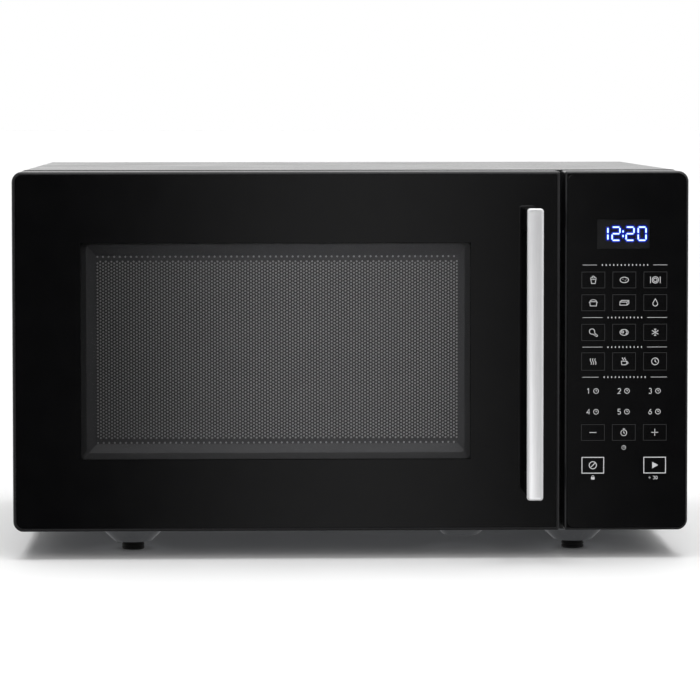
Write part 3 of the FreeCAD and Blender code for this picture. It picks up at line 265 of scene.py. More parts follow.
def finishOf(name, colour, lighter, rough, bump=0.0, stretch=(1, 1, 1), scale=900.0,
             cells=None, specks=None, dust=0.0, paintedShade=None, **sockets):
    # grain mixes two colours, sets the roughness between two values and raises the surface; an optional
    # painted shade darkens the colour away from an upright line
    material = bpy.data.materials.new(name)
    material.use_nodes = True
    tree = material.node_tree
    shader = tree.nodes["Principled BSDF"]
    grain = placed(tree, grainGroup, Stretch=stretch, Scale=scale)
    tone = mixed(tree, grain["Grain"], colour, lighter)
    if cells:  # (scale, strength, colour): each crystal a little nearer the second colour
        spangle = placed(tree, cellGroup, Scale=cells[0])
        tone = mixed(tree, worked(tree, "MULTIPLY", spangle["Cell"], cells[1]), tone, cells[2])
    if specks:  # (scale, size, colour): a speck in the middle of each cell
        speck = placed(tree, cellGroup, Scale=specks[0])
        inside = ranged(tree, speck["Middle"], 1, 0, specks[1] * common["speckCore"], specks[1])
        tone = mixed(tree, inside, tone, specks[2])
    # painted shade: the colour is darkened to either side of the upright line at x
    if paintedShade:  # (x, distance, share): the share left at that distance to either side of the upright line at x
        split = added(tree, "SeparateXYZ", Vector=placeOf(tree))
        away = worked(tree, "ABSOLUTE", worked(tree, "SUBTRACT", split.outputs["X"], paintedShade[0]))
        shade = ranged(tree, away, 0, 1 - paintedShade[2], common["paintedShadeStart"], paintedShade[1], True)
        tone = mixed(tree, shade, tone, (0.0, 0.0, 0.0))
    broad = worked(tree, "MULTIPLY", grain["Patches"], common["patchShare"])
    spread = worked(tree, "MULTIPLY_ADD", grain["Grain"], common["grainShare"], broad)
    gloss = ranged(tree, spread, *rough)
    if dust:
        film = placed(tree, dustGroup, Amount=dust)["Dust"]
        tone = mixed(tree, film, tone, common["dustColour"])
        gloss = worked(tree, "ADD", gloss, film)
    tree.links.new(tone, shader.inputs["Base Color"])
    tree.links.new(gloss, shader.inputs["Roughness"])
    if bump:
        raised = added(tree, "Bump", Strength=bump, Distance=common["bumpDeep"], Height=grain["Grain"])
        tree.links.new(raised.outputs["Normal"], shader.inputs["Normal"])
    for socket, value in sockets.items():
        shader.inputs[socket.replace("_", " ")].default_value = value
    return material


# painted shade on the window's bezel, lattice, pan and film: their colour darkens to either side of x = 0,
# down to 0.3 of it 0.22 m away
windowPaintedShade = (0.0, 0.22, 0.3)
recipes = {  # colour of the grain's low parts and high parts, range of roughness, and what else there is
    "stoveEnamel": ((0.012, 0.012, 0.013), (0.018, 0.018, 0.019), (0.20, 0.32),
        dict(bump=0.12, scale=1400, dust=0.025)),
    "rimPlastic": ((0.008, 0.008, 0.009), (0.013, 0.013, 0.014), (0.22, 0.34),
        dict(bump=0.05, scale=1800, dust=0.04, Specular_IOR_Level=0.35)),
    "doorGlass": ((0.0022, 0.0022, 0.0024), (0.003, 0.003, 0.0032), (0.02, 0.06),
        dict(scale=60, Specular_IOR_Level=0.4)),
    "fasciaGloss": ((0.003, 0.003, 0.0032), (0.0038, 0.0038, 0.004), (0.03, 0.08),
        dict(scale=60, Specular_IOR_Level=0.4)),
    "lensSmoke": ((0.003, 0.003, 0.0035), (0.0045, 0.0045, 0.005), (0.03, 0.08),
        dict(scale=60, Specular_IOR_Level=0.4)),
    "maskInk": ((0.003, 0.003, 0.0035), (0.005, 0.005, 0.0055), (0.5, 0.7), dict(Specular_IOR_Level=0.2)),
    "bezelGrey": ((0.045, 0.045, 0.047), (0.055, 0.055, 0.057), (0.4, 0.55),
        dict(scale=700, paintedShade=windowPaintedShade)),
    "mattBlack": ((0.0015, 0.0015, 0.0018), (0.003, 0.003, 0.0034), (0.4, 0.55),
        dict(bump=0.15, scale=1600, Specular_IOR_Level=0.1)),
    "latticePaint": ((0.095, 0.095, 0.098), (0.115, 0.115, 0.118), (0.4, 0.55),
        dict(Specular_IOR_Level=0.25, paintedShade=windowPaintedShade)),
    "panPaint": ((0.100, 0.100, 0.106), (0.116, 0.116, 0.122), (0.35, 0.5),
        dict(scale=800, Specular_IOR_Level=0.3, paintedShade=windowPaintedShade)),
    # pale film: painted light standing in for the lit cavity seen through the screen's holes, also darkened
    # by the window's painted shade
    "paintedCavityLight": ((0.78, 0.78, 0.80), (0.84, 0.84, 0.86), (0.35, 0.5), dict(scale=90, paintedShade=windowPaintedShade)),
    "darkFilm": ((0.035, 0.036, 0.04), (0.05, 0.051, 0.055), (0.08, 0.16),
        dict(scale=70, specks=(620, 0.35, (0.012, 0.012, 0.013)))),
    "satinSilver": ((0.64, 0.64, 0.65), (0.70, 0.70, 0.71), (0.44, 0.56),
        dict(bump=0.06, stretch=(1, 1, 0.02), scale=2600, Metallic=0.5)),
    "zincSteel": ((0.30, 0.31, 0.33), (0.38, 0.39, 0.41), (0.34, 0.55),
        dict(Metallic=0.9, cells=(150, 0.3, (0.50, 0.51, 0.53)), dust=0.04)),
    "cavityEnamel": ((0.40, 0.41, 0.42), (0.46, 0.47, 0.48), (0.18, 0.30),
        dict(bump=0.06, specks=(420, 0.22, (0.15, 0.15, 0.16)))),
    "trayGlass": ((0.86, 0.94, 0.91), (0.90, 0.97, 0.94), (0.02, 0.06),
        dict(scale=40, Transmission_Weight=1.0, IOR=1.5)),
    "acetal": ((0.70, 0.70, 0.67), (0.77, 0.77, 0.74), (0.38, 0.55), dict(bump=0.05)),
    "phenolic": ((0.028, 0.028, 0.031), (0.045, 0.045, 0.048), (0.42, 0.6), dict(bump=0.1)),
    "footRubber": ((0.004, 0.004, 0.004), (0.008, 0.008, 0.008), (0.55, 0.8),
        dict(bump=0.2, scale=1500, Specular_IOR_Level=0.15)),
    "boardLacquer": ((0.02, 0.08, 0.03), (0.03, 0.12, 0.04), (0.22, 0.4),
        dict(scale=300, cells=(260, 0.25, (0.06, 0.17, 0.06)))),
    "coreSteel": ((0.15, 0.15, 0.155), (0.27, 0.27, 0.275), (0.4, 0.55),
        dict(bump=0.2, stretch=(1, 0.04, 0.04), scale=2200, Metallic=0.8)),
    "copperWire": ((0.40, 0.15, 0.06), (0.64, 0.28, 0.13), (0.24, 0.4),
        dict(bump=0.4, stretch=(0.05, 0.05, 1), scale=1500, Metallic=0.9)),
    "aluminium": ((0.60, 0.61, 0.62), (0.72, 0.73, 0.74), (0.26, 0.4), dict(Metallic=1.0)),
    "mica": ((0.36, 0.32, 0.26), (0.46, 0.42, 0.34), (0.4, 0.6),
        dict(scale=260, cells=(150, 0.4, (0.30, 0.26, 0.21)))),
    "bulbGlass": ((0.94, 0.92, 0.86), (0.98, 0.96, 0.9), (0.03, 0.08),
        dict(scale=50, Transmission_Weight=1.0, IOR=1.45)),
    "displayBack": ((0.004, 0.004, 0.0045), (0.006, 0.006, 0.0065), (0.3, 0.5), dict()),
    "legendInk": ((0.50, 0.50, 0.51), (0.60, 0.60, 0.61), (0.4, 0.5), dict()),
    "outlineInk": ((0.010, 0.010, 0.011), (0.015, 0.015, 0.016), (0.4, 0.5), dict()),
    "paleFloor": ((0.86, 0.86, 0.86), (0.88, 0.88, 0.88), (0.6, 0.75),
        dict(scale=3, Specular_IOR_Level=0.2)),
}
finishes = {name: finishOf(name, *looks, **more) for name, (*looks, more) in recipes.items()}


def glowOf(name, inner, outer, strength, fade):
    # light that fades from inner to outer colour with the "glow" attribute; fade lets the rim vanish
    material = finishOf(name, (0.01, 0.01, 0.02), (0.02, 0.02, 0.03), (0.3, 0.4))
    tree = material.node_tree
    shader = tree.nodes["Principled BSDF"]
    amount = added(tree, "Attribute")
    amount.attribute_name = "glow"
    tree.links.new(mixed(tree, amount.outputs["Fac"], outer, inner), shader.inputs["Emission Color"])
    shader.inputs["Emission Strength"].default_value = strength
    if fade:
        tree.links.new(worked(tree, "MULTIPLY", amount.outputs["Fac"], fade), shader.inputs["Alpha"])
    return material


finishes["clockLight"] = glowOf("clockLight", (0.66, 0.88, 1.0), (0.15, 0.40, 1.0), 2.6, None)
finishes["clockHalo"] = glowOf("clockHalo", (0.01, 0.08, 1.0), (0.0, 0.0, 0.5), 1.8, 0.95)

nodeFinish = {
    "stoveEnamel": ("outer_casing", "front_plate"),
    "rimPlastic": ("door_frame", "control_housing"),
    "doorGlass": ("door_glass",),
    "mattBlack": ("handle_core", "choke_cover", "keypad_membrane"),
    "cavityEnamel": ("cavity_liner",),
    "acetal": ("drive_coupler", "roller_ring", "roller_1", "roller_2", "roller_3", "upper_plunger",
        "lower_plunger", "door_latch", "fan_blade"),
    "boardLacquer": ("control_board", "line_filter"),
    "coreSteel": ("turntable_motor", "fan_motor", "transformer_core"),
    "copperWire": ("transformer_coils",),
    "aluminium": ("magnetron_fins", "capacitor"),
    "mica": ("waveguide_cover",),
    "bulbGlass": ("cavity_lamp",),
    "displayBack": ("display_module",),
    "zincSteel": ("base_plate", "rear_panel", "upper_hinge", "lower_hinge", "hinge_pins", "waveguide",
        "magnetron_yoke", "fan_bracket", "capacitor_clamp", "handle_screws"),
    "phenolic": ("upper_switch", "lower_switch", "interlock_bracket", "fan_shroud", "cord_gland",
        "lamp_holder", "thermal_cutout", "board_parts"),
}
for finish, names in nodeFinish.items():
    for node in names:
        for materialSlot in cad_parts[node].material_slots:
            materialSlot.material = finishes[finish]
print("materials ready")


def middleOf(low, high):
    # middle of a box seen from the front
    return (low[0] + high[0]) / 2, (low[2] + high[2]) / 2


def fromAbove(low, high):
    # middle of a box seen from above
    return (low[0] + high[0]) / 2, (low[1] + high[1]) / 2


def halfOf(low, high, less=0.0):
    # half its width and height, each made smaller by less
    return (high[0] - low[0]) / 2 - less, (high[2] - low[2]) / 2 - less


maskLow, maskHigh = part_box("window_mask")
panLow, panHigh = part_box("screen_pan")
filmLow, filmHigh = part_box("inner_window")
window = {
    "filmMargin": 3 * mm, "corner": 3 * mm, "sideSlope": 3.6 * mm, "lowSlope": 3.6 * mm,
    "topSlope": 1.1 * mm, "columns": 130, "rows": 58, "columnPitch": 2.008 * mm, "rowPitch": 2.36 * mm,
    "holeRadius": 0.80 * mm, "latticeMiddle": (-52.7 * mm, 150.8 * mm), "wallDeep": 0.35 * mm,
    "sheetThick": 0.7 * mm, "panCorner": 3 * mm, "foldThick": 1.5 * mm, "tint": 0.40,
    "printMargin": 0.4 * mm, "bezelGap": 0.05 * mm, "maskFold": 1.5 * mm,
    "slopeLip": 0.06, "slopeShares": (0.08, 0.5, 1.0),  # a small lip, then a straight slope
    "frontStep": 0.03 * mm, "foldRound": 0.8 * mm, "latticeCorner": 0.4 * mm, "filmSplit": 0.4 * mm,
    "latticeEdge": (0.5, 0.3),  # shares of a step
    "frontDeep": 0.1 * mm}
viewMiddle = middleOf(filmLow, filmHigh)
viewHalf = halfOf(filmLow, filmHigh, window["filmMargin"])


def clearFront(material, alpha, frontY, outline=None):
    # tinted on the front face and clear on the back one; outside the outline (middle, half) it is printed
    tree = material.node_tree
    split = added(tree, "SeparateXYZ", Vector=placeOf(tree))
    inFront = worked(tree, "LESS_THAN", split.outputs["Y"], frontY + window["frontDeep"])
    cover = worked(tree, "MULTIPLY", inFront, alpha)
    if outline:
        for axis, centre, half in zip("XZ", *outline):
            away = worked(tree, "ABSOLUTE", worked(tree, "SUBTRACT", split.outputs[axis], centre))
            cover = worked(tree, "MAXIMUM", cover, worked(tree, "GREATER_THAN", away, half))
    tree.links.new(cover, tree.nodes["Principled BSDF"].inputs["Alpha"])


clearFront(finishes["doorGlass"], window["tint"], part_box("door_glass")[0][1],
           (viewMiddle, [half + window["printMargin"] for half in viewHalf]))


def buildMask(size):
    # printed black border round the window, then slopes that run in and back to the screen
    front, back, corner = maskLow[1], panLow[1] - size["bezelGap"], size["corner"]
    rim = roundedRing(viewMiddle, viewHalf, corner, front)
    ink = [roundedRing(middleOf(maskLow, maskHigh), halfOf(maskLow, maskHigh), corner, y)
           for y in (front + size["maskFold"], front)]
    loft("windowMask", ink + [rim], "maskInk", "door", replaces=("window_mask",), slot="black_matt")
    rise = (size["lowSlope"] - size["topSlope"]) / 2
    inner = (viewHalf[0] - size["sideSlope"], viewHalf[1] - (size["lowSlope"] + size["topSlope"]) / 2)
    rings, lip = [rim], size["slopeLip"]
    for share in size["slopeShares"]:
        centre = (viewMiddle[0], viewMiddle[1] + rise * share)
        half = [wide + (narrow - wide) * share for wide, narrow in zip(viewHalf, inner)]
        rings.append(roundedRing(centre, half, corner, front + (back - front) * (share + lip) / (1 + lip)))
    loft("windowBezel", rings, "bezelGrey", "door", slot="black_matt")


def buildLattice(size):
    # x = middle + (i - (columns - 1) / 2) pitch, z = middle + (j - (rows - 1) / 2) rise, and odd
    # columns half a step up; each hexagon cell is six quads round a six-sided hole with short walls
    pitch, rise = size["columnPitch"], size["rowPitch"]
    reach, stretch = pitch / 1.5, rise * math.sqrt(3) / 2 / pitch
    columns, rows = size["columns"], size["rows"]
    i, j = np.meshgrid(np.arange(-1, columns + 1), np.arange(-1, rows + 1), indexing="ij")
    last = rows - 1 - i % 2  # odd columns have one hole fewer, half a step up
    x = size["latticeMiddle"][0] + (i - (columns - 1) / 2) * pitch
    z = size["latticeMiddle"][1] + (j - (rows - 1) / 2 + i % 2 / 2) * rise
    edge = (i < 0) | (j < 0) | (i >= columns) | (j > last)
    # odd columns lose their end holes and even ones the next, so the outermost rows are sparse
    skipped = np.where(i % 2, (j == 0) | (j == last), (j == 1) | (j == last - 1))
    closed = (edge | skipped).ravel()
    outermost = ((j == 0) | (j == last)).ravel()[~closed]
    centre = np.stack([x.ravel(), z.ravel()], -1)
    turn = np.arange(6) * math.pi / 3
    corner = np.stack([np.cos(turn), np.sin(turn)], -1)
    depth = panLow[1]

    def ringsAt(middles, radius, y, tall=1.0):
        # six corners round each middle
        flat = (middles[:, None] + radius * corner * (1, tall)).reshape(-1, 2)
        return np.column_stack([flat[:, 0], np.full(len(flat), y), flat[:, 1]])
    openCells, shutCells = centre[~closed], centre[closed]
    count = len(openCells) * 6
    points = np.concatenate([ringsAt(openCells, reach, depth, stretch),
                             ringsAt(openCells, size["holeRadius"], depth),
                             ringsAt(openCells, size["holeRadius"], depth + size["wallDeep"]),
                             ringsAt(shutCells, reach, depth, stretch)])
    base, k = np.arange(len(openCells))[:, None] * 6, np.arange(6)
    n = (k + 1) % 6
    web = np.stack([base + k, base + n, base + n + count, base + k + count], -1).reshape(-1, 4)
    wall = np.stack([base + k + count, base + n + count, base + n + 2 * count, base + k + 2 * count], -1)
    plain = 3 * count + np.arange(len(shutCells) * 6).reshape(-1, 6)
    faces = web.tolist() + wall.reshape(-1, 4).tolist() + plain.tolist()
    lattice = toPiece("screenLattice", points, faces, "latticePaint", "door", slot="screen_black",
                      smooth=False)
    lattice.data.materials.append(finishes["panPaint"])  # plain cells and those of the outermost holes
    plainFaces = np.concatenate([np.repeat(outermost, 6), np.zeros(count, bool),
                                 np.ones(len(shutCells), bool)])
    lattice.data.polygons.foreach_set("material_index", plainFaces.astype(np.int32))
    return [((holes - 1) / 2 + edge) * step for holes, edge, step in
            zip((columns, rows), size["latticeEdge"], (pitch, rise))]


def buildPan(size, latticeHalf):
    # plain sheet round the lattice; its edge bends back by fold (1 - cos) and out by fold sin, then returns
    front, back, thick = panLow[1], panHigh[1], size["sheetThick"]
    outer, corner = halfOf(panLow, panHigh), size["panCorner"]
    inner = halfOf(panLow, panHigh, size["foldThick"])
    centre = middleOf(panLow, panHigh)
    face, fold = front - size["frontStep"], size["foldRound"]
    hole = [roundedRing(size["latticeMiddle"], latticeHalf, size["latticeCorner"], y)
            for y in (face, front + thick)]
    bend = [roundedRing(centre, [h - fold * (1 - math.sin(a)) for h in outer], corner,
                        face + fold * (1 - math.cos(a))) for a in np.linspace(0, math.pi / 2, 4)]
    rings = [hole[0], *bend, roundedRing(centre, outer, corner, back),
             roundedRing(centre, inner, corner, back), roundedRing(centre, inner, corner, front + thick),
             hole[1], hole[0]]
    loft("doorPan", rings, "panPaint", "door", replaces=("screen_pan",), slot="screen_black")


def buildFilm(size):
    # thin sheet close behind the holes: its pale front is painted light that stands in for the lit cavity
    # seen through the holes, and it is dark towards the oven
    half, centre = halfOf(filmLow, filmHigh), middleOf(filmLow, filmHigh)
    middleY = filmLow[1] + size["filmSplit"]
    pale = [roundedRing(centre, half, size["corner"], y) for y in (middleY, filmLow[1])]
    dark = [roundedRing(centre, half, size["corner"], y) for y in (middleY, filmHigh[1])]
    loft("filmFront", pale, "paintedCavityLight", "door", (True, True), replaces=("inner_window",),
         slot="clear_sheet")
    loft("filmBack", dark, "darkFilm", "door", (False, True), slot="clear_sheet")


buildMask(window)
buildPan(window, buildLattice(window))
buildFilm(window)
print("window ready")

gripLow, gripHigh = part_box("handle_grip")
handle = {
    "corner": 2.2 * mm, "leastCorner": 0.6 * mm, "bevel": 1.0 * mm, "backBevel": 0.5 * mm,
    "faceSink": 0.12 * mm, "sinkWide": 0.2 * mm, "landWide": 0.3 * mm}


def buildHandle(size):
    # bar with a rounded bevel: inset = bevel (1 - cos), depth = bevel (1 - sin), and a sunk satin face
    centre, half = middleOf(gripLow, gripHigh), halfOf(gripLow, gripHigh)
    front, back, bevel = gripLow[1], gripHigh[1], size["bevel"]

    def ring(inset, y):
        # the bar's outline drawn in by inset
        corner = max(size["corner"] - inset * 0.5, size["leastCorner"])
        return roundedRing(centre, [h - inset for h in half], corner, y)
    rings = [ring(size["backBevel"], back), ring(0, back - size["backBevel"])]
    rings += [ring(bevel * (1 - math.cos(a)), front + bevel * (1 - math.sin(a)))
              for a in np.linspace(0, math.pi / 2, 8)]
    land = bevel + size["landWide"]
    rings += [ring(land, front), ring(land + size["sinkWide"], front + size["faceSink"])]
    loft("handleBar", rings, "satinSilver", "door", (True, True), replaces=("handle_grip",),
         slot="handle_silver")


buildHandle(handle)

foot = {
    "steps": 72, "groove": 0.55 * mm, "grooveHeights": (2.4 * mm, 4.4 * mm), "grooveHalf": 0.25 * mm,
    "grooveMouth": 0.45 * mm, "padHigh": 6.5 * mm, "stem": 3.5 * mm, "sunk": 0.6 * mm, "sunkShare": 0.5,
    "soleShare": 0.56, "topEdge": 0.5 * mm,
    "chamfer": ((0.9 * mm, 0), (0.2 * mm, 0.25 * mm), (0, 0.9 * mm))}  # (inwards, up) from the rim


def buildFoot(node, size):
    # short drum with two grooves round it, a sunk middle underneath and a stem up into the base
    low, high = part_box(node)
    radius, top, groove = (high[0] - low[0]) / 2, size["padHigh"], size["groove"]
    profile = [(0, size["sunk"]), (radius * size["sunkShare"], size["sunk"]), (radius * size["soleShare"], 0)]
    profile += [(radius - inset, height) for inset, height in size["chamfer"]]
    mouth, half, edge = size["grooveMouth"], size["grooveHalf"], size["topEdge"]
    for middle in size["grooveHeights"]:
        profile += [(radius, middle - mouth), (radius - groove, middle - half),
                    (radius - groove, middle + half), (radius, middle + mouth)]
    profile += [(radius, top - edge), (radius - edge, top), (size["stem"], top),
                (size["stem"], high[2]), (0, high[2])]
    turned(node.replace("foot", "pad"), profile, fromAbove(low, high),
           "footRubber", "cabinet", size["steps"], replaces=(node,), slot="foot_rubber")


for end in ("front", "rear"):
    for side in ("left", "right"):
        buildFoot(f"foot_{end}_{side}", foot)

plate = {
    "steps": 144, "thick": 4.2 * mm, "slope": 12 * mm, "wall": 2.6 * mm, "trackStart": 0.34,
    "rise": 2.2, "rimHigh": 1.2 * mm, "rimWall": 0.7 * mm, "floorSunk": 0.5 * mm,
    "floorEdge": (24 * mm, 26 * mm), "trackEdge": 2 * mm,
    "lip": ((0, 0.5 * mm), (0.6 * mm, 0), (1.8 * mm, 0))}  # (inwards, down) from the rim's top


def buildPlate(size):
    # pressed dish: the rise follows a sine out and a power up, the floor is a little thinner in its middle
    low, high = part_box("glass_tray")
    radius, bottom, top = (high[0] - low[0]) / 2, low[2], high[2]
    thick, slope = size["thick"], size["slope"]
    share = np.linspace(0, 1, 12)
    outerX = radius - slope + slope * np.sin(share * math.pi / 2)
    outerZ = bottom + (top - bottom - size["rimHigh"]) * share ** size["rise"]
    innerX, innerZ = outerX - size["wall"], outerZ + thick * (1 - share) + size["rimWall"] * share
    lip = [(radius - inwards, top - down) for inwards, down in size["lip"]]
    track, level, sunk = radius * size["trackStart"], bottom + thick, bottom + thick - size["floorSunk"]
    edges = [radius - edge for edge in size["floorEdge"]]
    floor = [(edges[0], level), (edges[1], sunk), (track + size["trackEdge"], sunk), (track, level),
             (0, level)]
    profile = [(0, bottom), *zip(outerX, outerZ), *lip, *list(zip(innerX, innerZ))[::-1], *floor]
    turned("glassPlate", profile, fromAbove(low, high), "trayGlass",
           "tray", size["steps"], replaces=("glass_tray",), slot="tray_glass")


buildPlate(plate)

spring = {"turns": 9, "wire": 0.32 * mm, "steps": 330, "sides": 8, "keep": 0.8, "closing": 0.6}


def buildSpring(size):
    # helix whose turns close up at both ends; a small circle of wire is carried round it
    low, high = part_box("latch_spring")
    (x, y), wire = fromAbove(low, high), size["wire"]
    reach = (high[0] - low[0]) / 2 - wire
    along = np.linspace(0, 1, size["steps"])
    angle = along * size["turns"] * 2 * math.pi
    climb = along - np.sin(2 * math.pi * along) / (2 * math.pi) * size["closing"]
    height = low[2] + wire + (high[2] - low[2] - 2 * wire) * climb
    around = np.linspace(0, 2 * math.pi, size["sides"], endpoint=False)
    radial = reach + wire * np.cos(around)
    points = np.stack([x + radial * np.cos(angle)[:, None], y + radial * np.sin(angle)[:, None],
                       height[:, None] + wire * np.sin(around)], -1).reshape(-1, 3)
    faces = gridFaces(size["steps"], size["sides"])
    last = (size["steps"] - 1) * size["sides"]
    faces += [list(range(size["sides"])), [last + k for k in range(size["sides"])]]
    coil = outwards(toPiece("latchCoil", points, faces, "zincSteel", "door",
                            replaces=("latch_spring",), slot="zinc_steel"))
    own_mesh(coil)


buildSpring(spring)

screw = {
    "head": 3.6 * mm, "high": 2.2 * mm, "slot": 0.5 * mm, "slotDeep": 1.0 * mm, "slotReach": 0.6,
    "steps": 48, "linerStep": 0.7 * mm, "shares": (0, 0.12, 0.25, 0.4, 0.55, 0.66, 0.8, 0.92, 1.0, 1.0),
    "heights": (1, 1, 0.98, 0.95, 0.9, 0.84, 0.7, 0.5, 0.22, 0)}


def buildScrews(size):
    # domed heads with a crossed recess: points near either cross line are pressed in
    low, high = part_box("rear_screws")
    head, proud = size["head"], high[1]
    seat = proud - size["high"]
    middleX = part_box("cavity_liner")[1][0] - size["linerStep"]
    share = np.array(size["shares"])
    dome = seat + size["high"] * np.array(size["heights"])
    angle = np.linspace(0, 2 * math.pi, size["steps"], endpoint=False)
    radii = share[:, None] * head
    nearCross = np.minimum(np.abs(np.sin(angle)), np.abs(np.cos(angle))) * radii < size["slot"]
    depth = dome[:, None] - np.where(nearCross & (share[:, None] < size["slotReach"]), size["slotDeep"], 0)
    points, faces = [], []
    for x in (low[0] + head, middleX, high[0] - head):
        for z in (low[2] + head, high[2] - head):
            start = len(points) * depth.size
            points.append(np.stack([x + radii * np.cos(angle), depth, z + radii * np.sin(angle)], -1))
            faces += (np.array(gridFaces(len(share), size["steps"])) + start).tolist()
    outwards(toPiece("rearScrewHeads", np.concatenate(points).reshape(-1, 3), faces, "zincSteel",
                     "cabinet", replaces=("rear_screws",), slot="zinc_steel"))


buildScrews(screw)
print("handle, feet, plate, spring and screws ready")

fasciaLow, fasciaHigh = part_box("control_fascia")
moduleLow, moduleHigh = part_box("display_module")
fascia = {
    "corner": 5.8 * mm, "chamfer": 0.25 * mm, "screenCorner": 0.6 * mm, "lensGap": 0.04 * mm,
    "lensThick": 1.2 * mm, "lensTint": 0.35}


def buildFascia(size):
    # one glossy sheet with a display opening that a smoked lens fills flush
    front, back, chamfer = fasciaLow[1], fasciaHigh[1], size["chamfer"]
    centre, half = middleOf(fasciaLow, fasciaHigh), halfOf(fasciaLow, fasciaHigh)
    screenMiddle, screenHalf = middleOf(moduleLow, moduleHigh), halfOf(moduleLow, moduleHigh)
    corner, hole = size["corner"], size["screenCorner"]
    rings = [roundedRing(centre, half, corner, back), roundedRing(centre, half, corner, front + chamfer),
             roundedRing(centre, [h - chamfer for h in half], corner, front),
             roundedRing(screenMiddle, screenHalf, hole, front),
             roundedRing(screenMiddle, screenHalf, hole, back), roundedRing(centre, half, corner, back)]
    loft("fasciaSheet", rings, "fasciaGloss", "cabinet", replaces=("control_fascia",),
         slot="fascia_gloss")
    lens = [h - size["lensGap"] for h in screenHalf]
    clearFront(finishes["lensSmoke"], size["lensTint"], front)
    slab = [roundedRing(screenMiddle, lens, hole, y) for y in (front + size["lensThick"], front)]
    loft("displayLens", slab, "lensSmoke", "cabinet", (True, True), slot="display_face")


buildFascia(fascia)

clock = {
    "digits": "12:20", "offset": (-0.2 * mm, 0.1 * mm), "pitch": 8.7 * mm, "middlePitch": 10.1 * mm,
    "wide": 5.6 * mm, "half": 4.73 * mm, "stroke": 1.0 * mm, "gap": 0.5 * mm, "shortGap": 0.6,
    "halo": 1.9 * mm, "dotRise": 1.64 * mm, "dotHalf": 0.35 * mm, "lightProud": 0.25 * mm,
    "haloProud": 0.08 * mm, "step": 0.004 * mm}
litSegments = {"0": "abcdef", "1": "bc", "2": "abdeg"}


def clockStrokes(size):
    # seven straight strokes a digit: a top, b and c right, d bottom, e and f left, g middle
    wide, half, gap = size["wide"] / 2, size["half"], size["gap"]
    ends = {"a": ((-wide, half), (wide, half)), "b": ((wide, half), (wide, 0)),
            "c": ((wide, 0), (wide, -half)), "d": ((-wide, -half), (wide, -half)),
            "e": ((-wide, 0), (-wide, -half)), "f": ((-wide, half), (-wide, 0)), "g": ((-wide, 0), (wide, 0))}
    first = -size["middlePitch"] / 2 - size["pitch"]
    steps = [first, first + size["pitch"], -first - size["pitch"], -first]
    strokes = []
    for x, digit in zip(steps, size["digits"].replace(":", "")):
        for letter in litSegments[digit]:
            start, end = np.array(ends[letter][0]), np.array(ends[letter][1])
            along = (end - start) / np.linalg.norm(end - start)
            inset = size["stroke"] * 0.5 + gap * (1 if letter in "bcef" else size["shortGap"])
            strokes.append((start + along * inset + (x, 0), end - along * inset + (x, 0)))
    for rise in (size["dotRise"], -size["dotRise"]):
        strokes.append((np.array([0, rise - size["dotHalf"]]), np.array([0, rise + size["dotHalf"]])))
    return strokes


def capsule(start, end, radius, steps=9):
    # outline at a radius round a straight stroke: half circles at both ends
    heading = math.degrees(math.atan2(*(end - start)[::-1]))
    return np.concatenate([arcOf(*end, radius, heading - 90, heading + 90, steps=steps),
                           arcOf(*start, radius, heading + 90, heading + 270, steps=steps)])


def buildClock(size):
    # each stroke is nested capsules whose glow runs from 1 on the middle line to 0 at the rim
    centre = np.array(middleOf(moduleLow, moduleHigh)) + size["offset"]
    layers = (("clockDigits", "clockLight", (0.05, 0.6, 1.0), (1, 1, 0.35), size["stroke"] / 2,
               size["lightProud"]),
              ("clockHalos", "clockHalo", (0.05, 0.3, 0.6, 1.0), (1, 0.9, 0.35, 0), size["halo"],
               size["haloProud"]))
    for name, finish, shares, glows, radius, proud in layers:
        points, faces, glow = [], [], []
        for order, (start, end) in enumerate(clockStrokes(size)):
            rings = [capsule(start, end, radius * share) for share in shares]
            base = sum(len(part) for part in points)
            count = len(rings[0])
            y = moduleLow[1] - proud - order * size["step"]  # each a little nearer, so none share a plane
            flat = np.concatenate(rings) + centre
            points.append(np.column_stack([flat[:, 0], np.full(len(flat), y), flat[:, 1]]))
            faces.append([base + k for k in range(count)])
            faces += [[base + v for v in face[::-1]] for face in gridFaces(len(rings), count)]
            glow += np.repeat(glows, count).tolist()
        piece = toPiece(name, np.concatenate(points), faces, finish, "cabinet", slot="display_face",
                        smooth=False)
        amount = piece.data.attributes.new("glow", "FLOAT", "POINT")
        amount.data.foreach_set("value", np.array(glow, np.float32))


buildClock(clock)
print("display ready")


def ribbon(line, width, closed=False):
    # strip along a line: each point steps half the width along its mean normal, lengthened at corners
    line = np.asarray(line, float)
    ahead, behind = np.roll(line, -1, axis=0) - line, line - np.roll(line, 1, axis=0)
    if not closed:
        ahead[-1], behind[0] = behind[-1], ahead[0]
    ahead, behind = [v / np.maximum(np.linalg.norm(v, axis=1, keepdims=True), 1e-9) for v in (ahead, behind)]
    mean = np.stack([-(ahead + behind)[:, 1], (ahead + behind)[:, 0]], -1)
    mean /= np.maximum(np.linalg.norm(mean, axis=1, keepdims=True), 1e-9)
    lengthen = 1 / np.maximum(np.abs((mean * np.stack([-ahead[:, 1], ahead[:, 0]], -1)).sum(1)), 0.5)
    side = mean * lengthen[:, None] * width / 2
    count = len(line)
    start = np.arange(count if closed else count - 1)
    after = (start + 1) % count
    quads = np.stack([start, start + count, after + count, after], -1)
    return np.concatenate([line + side, line - side]), quads


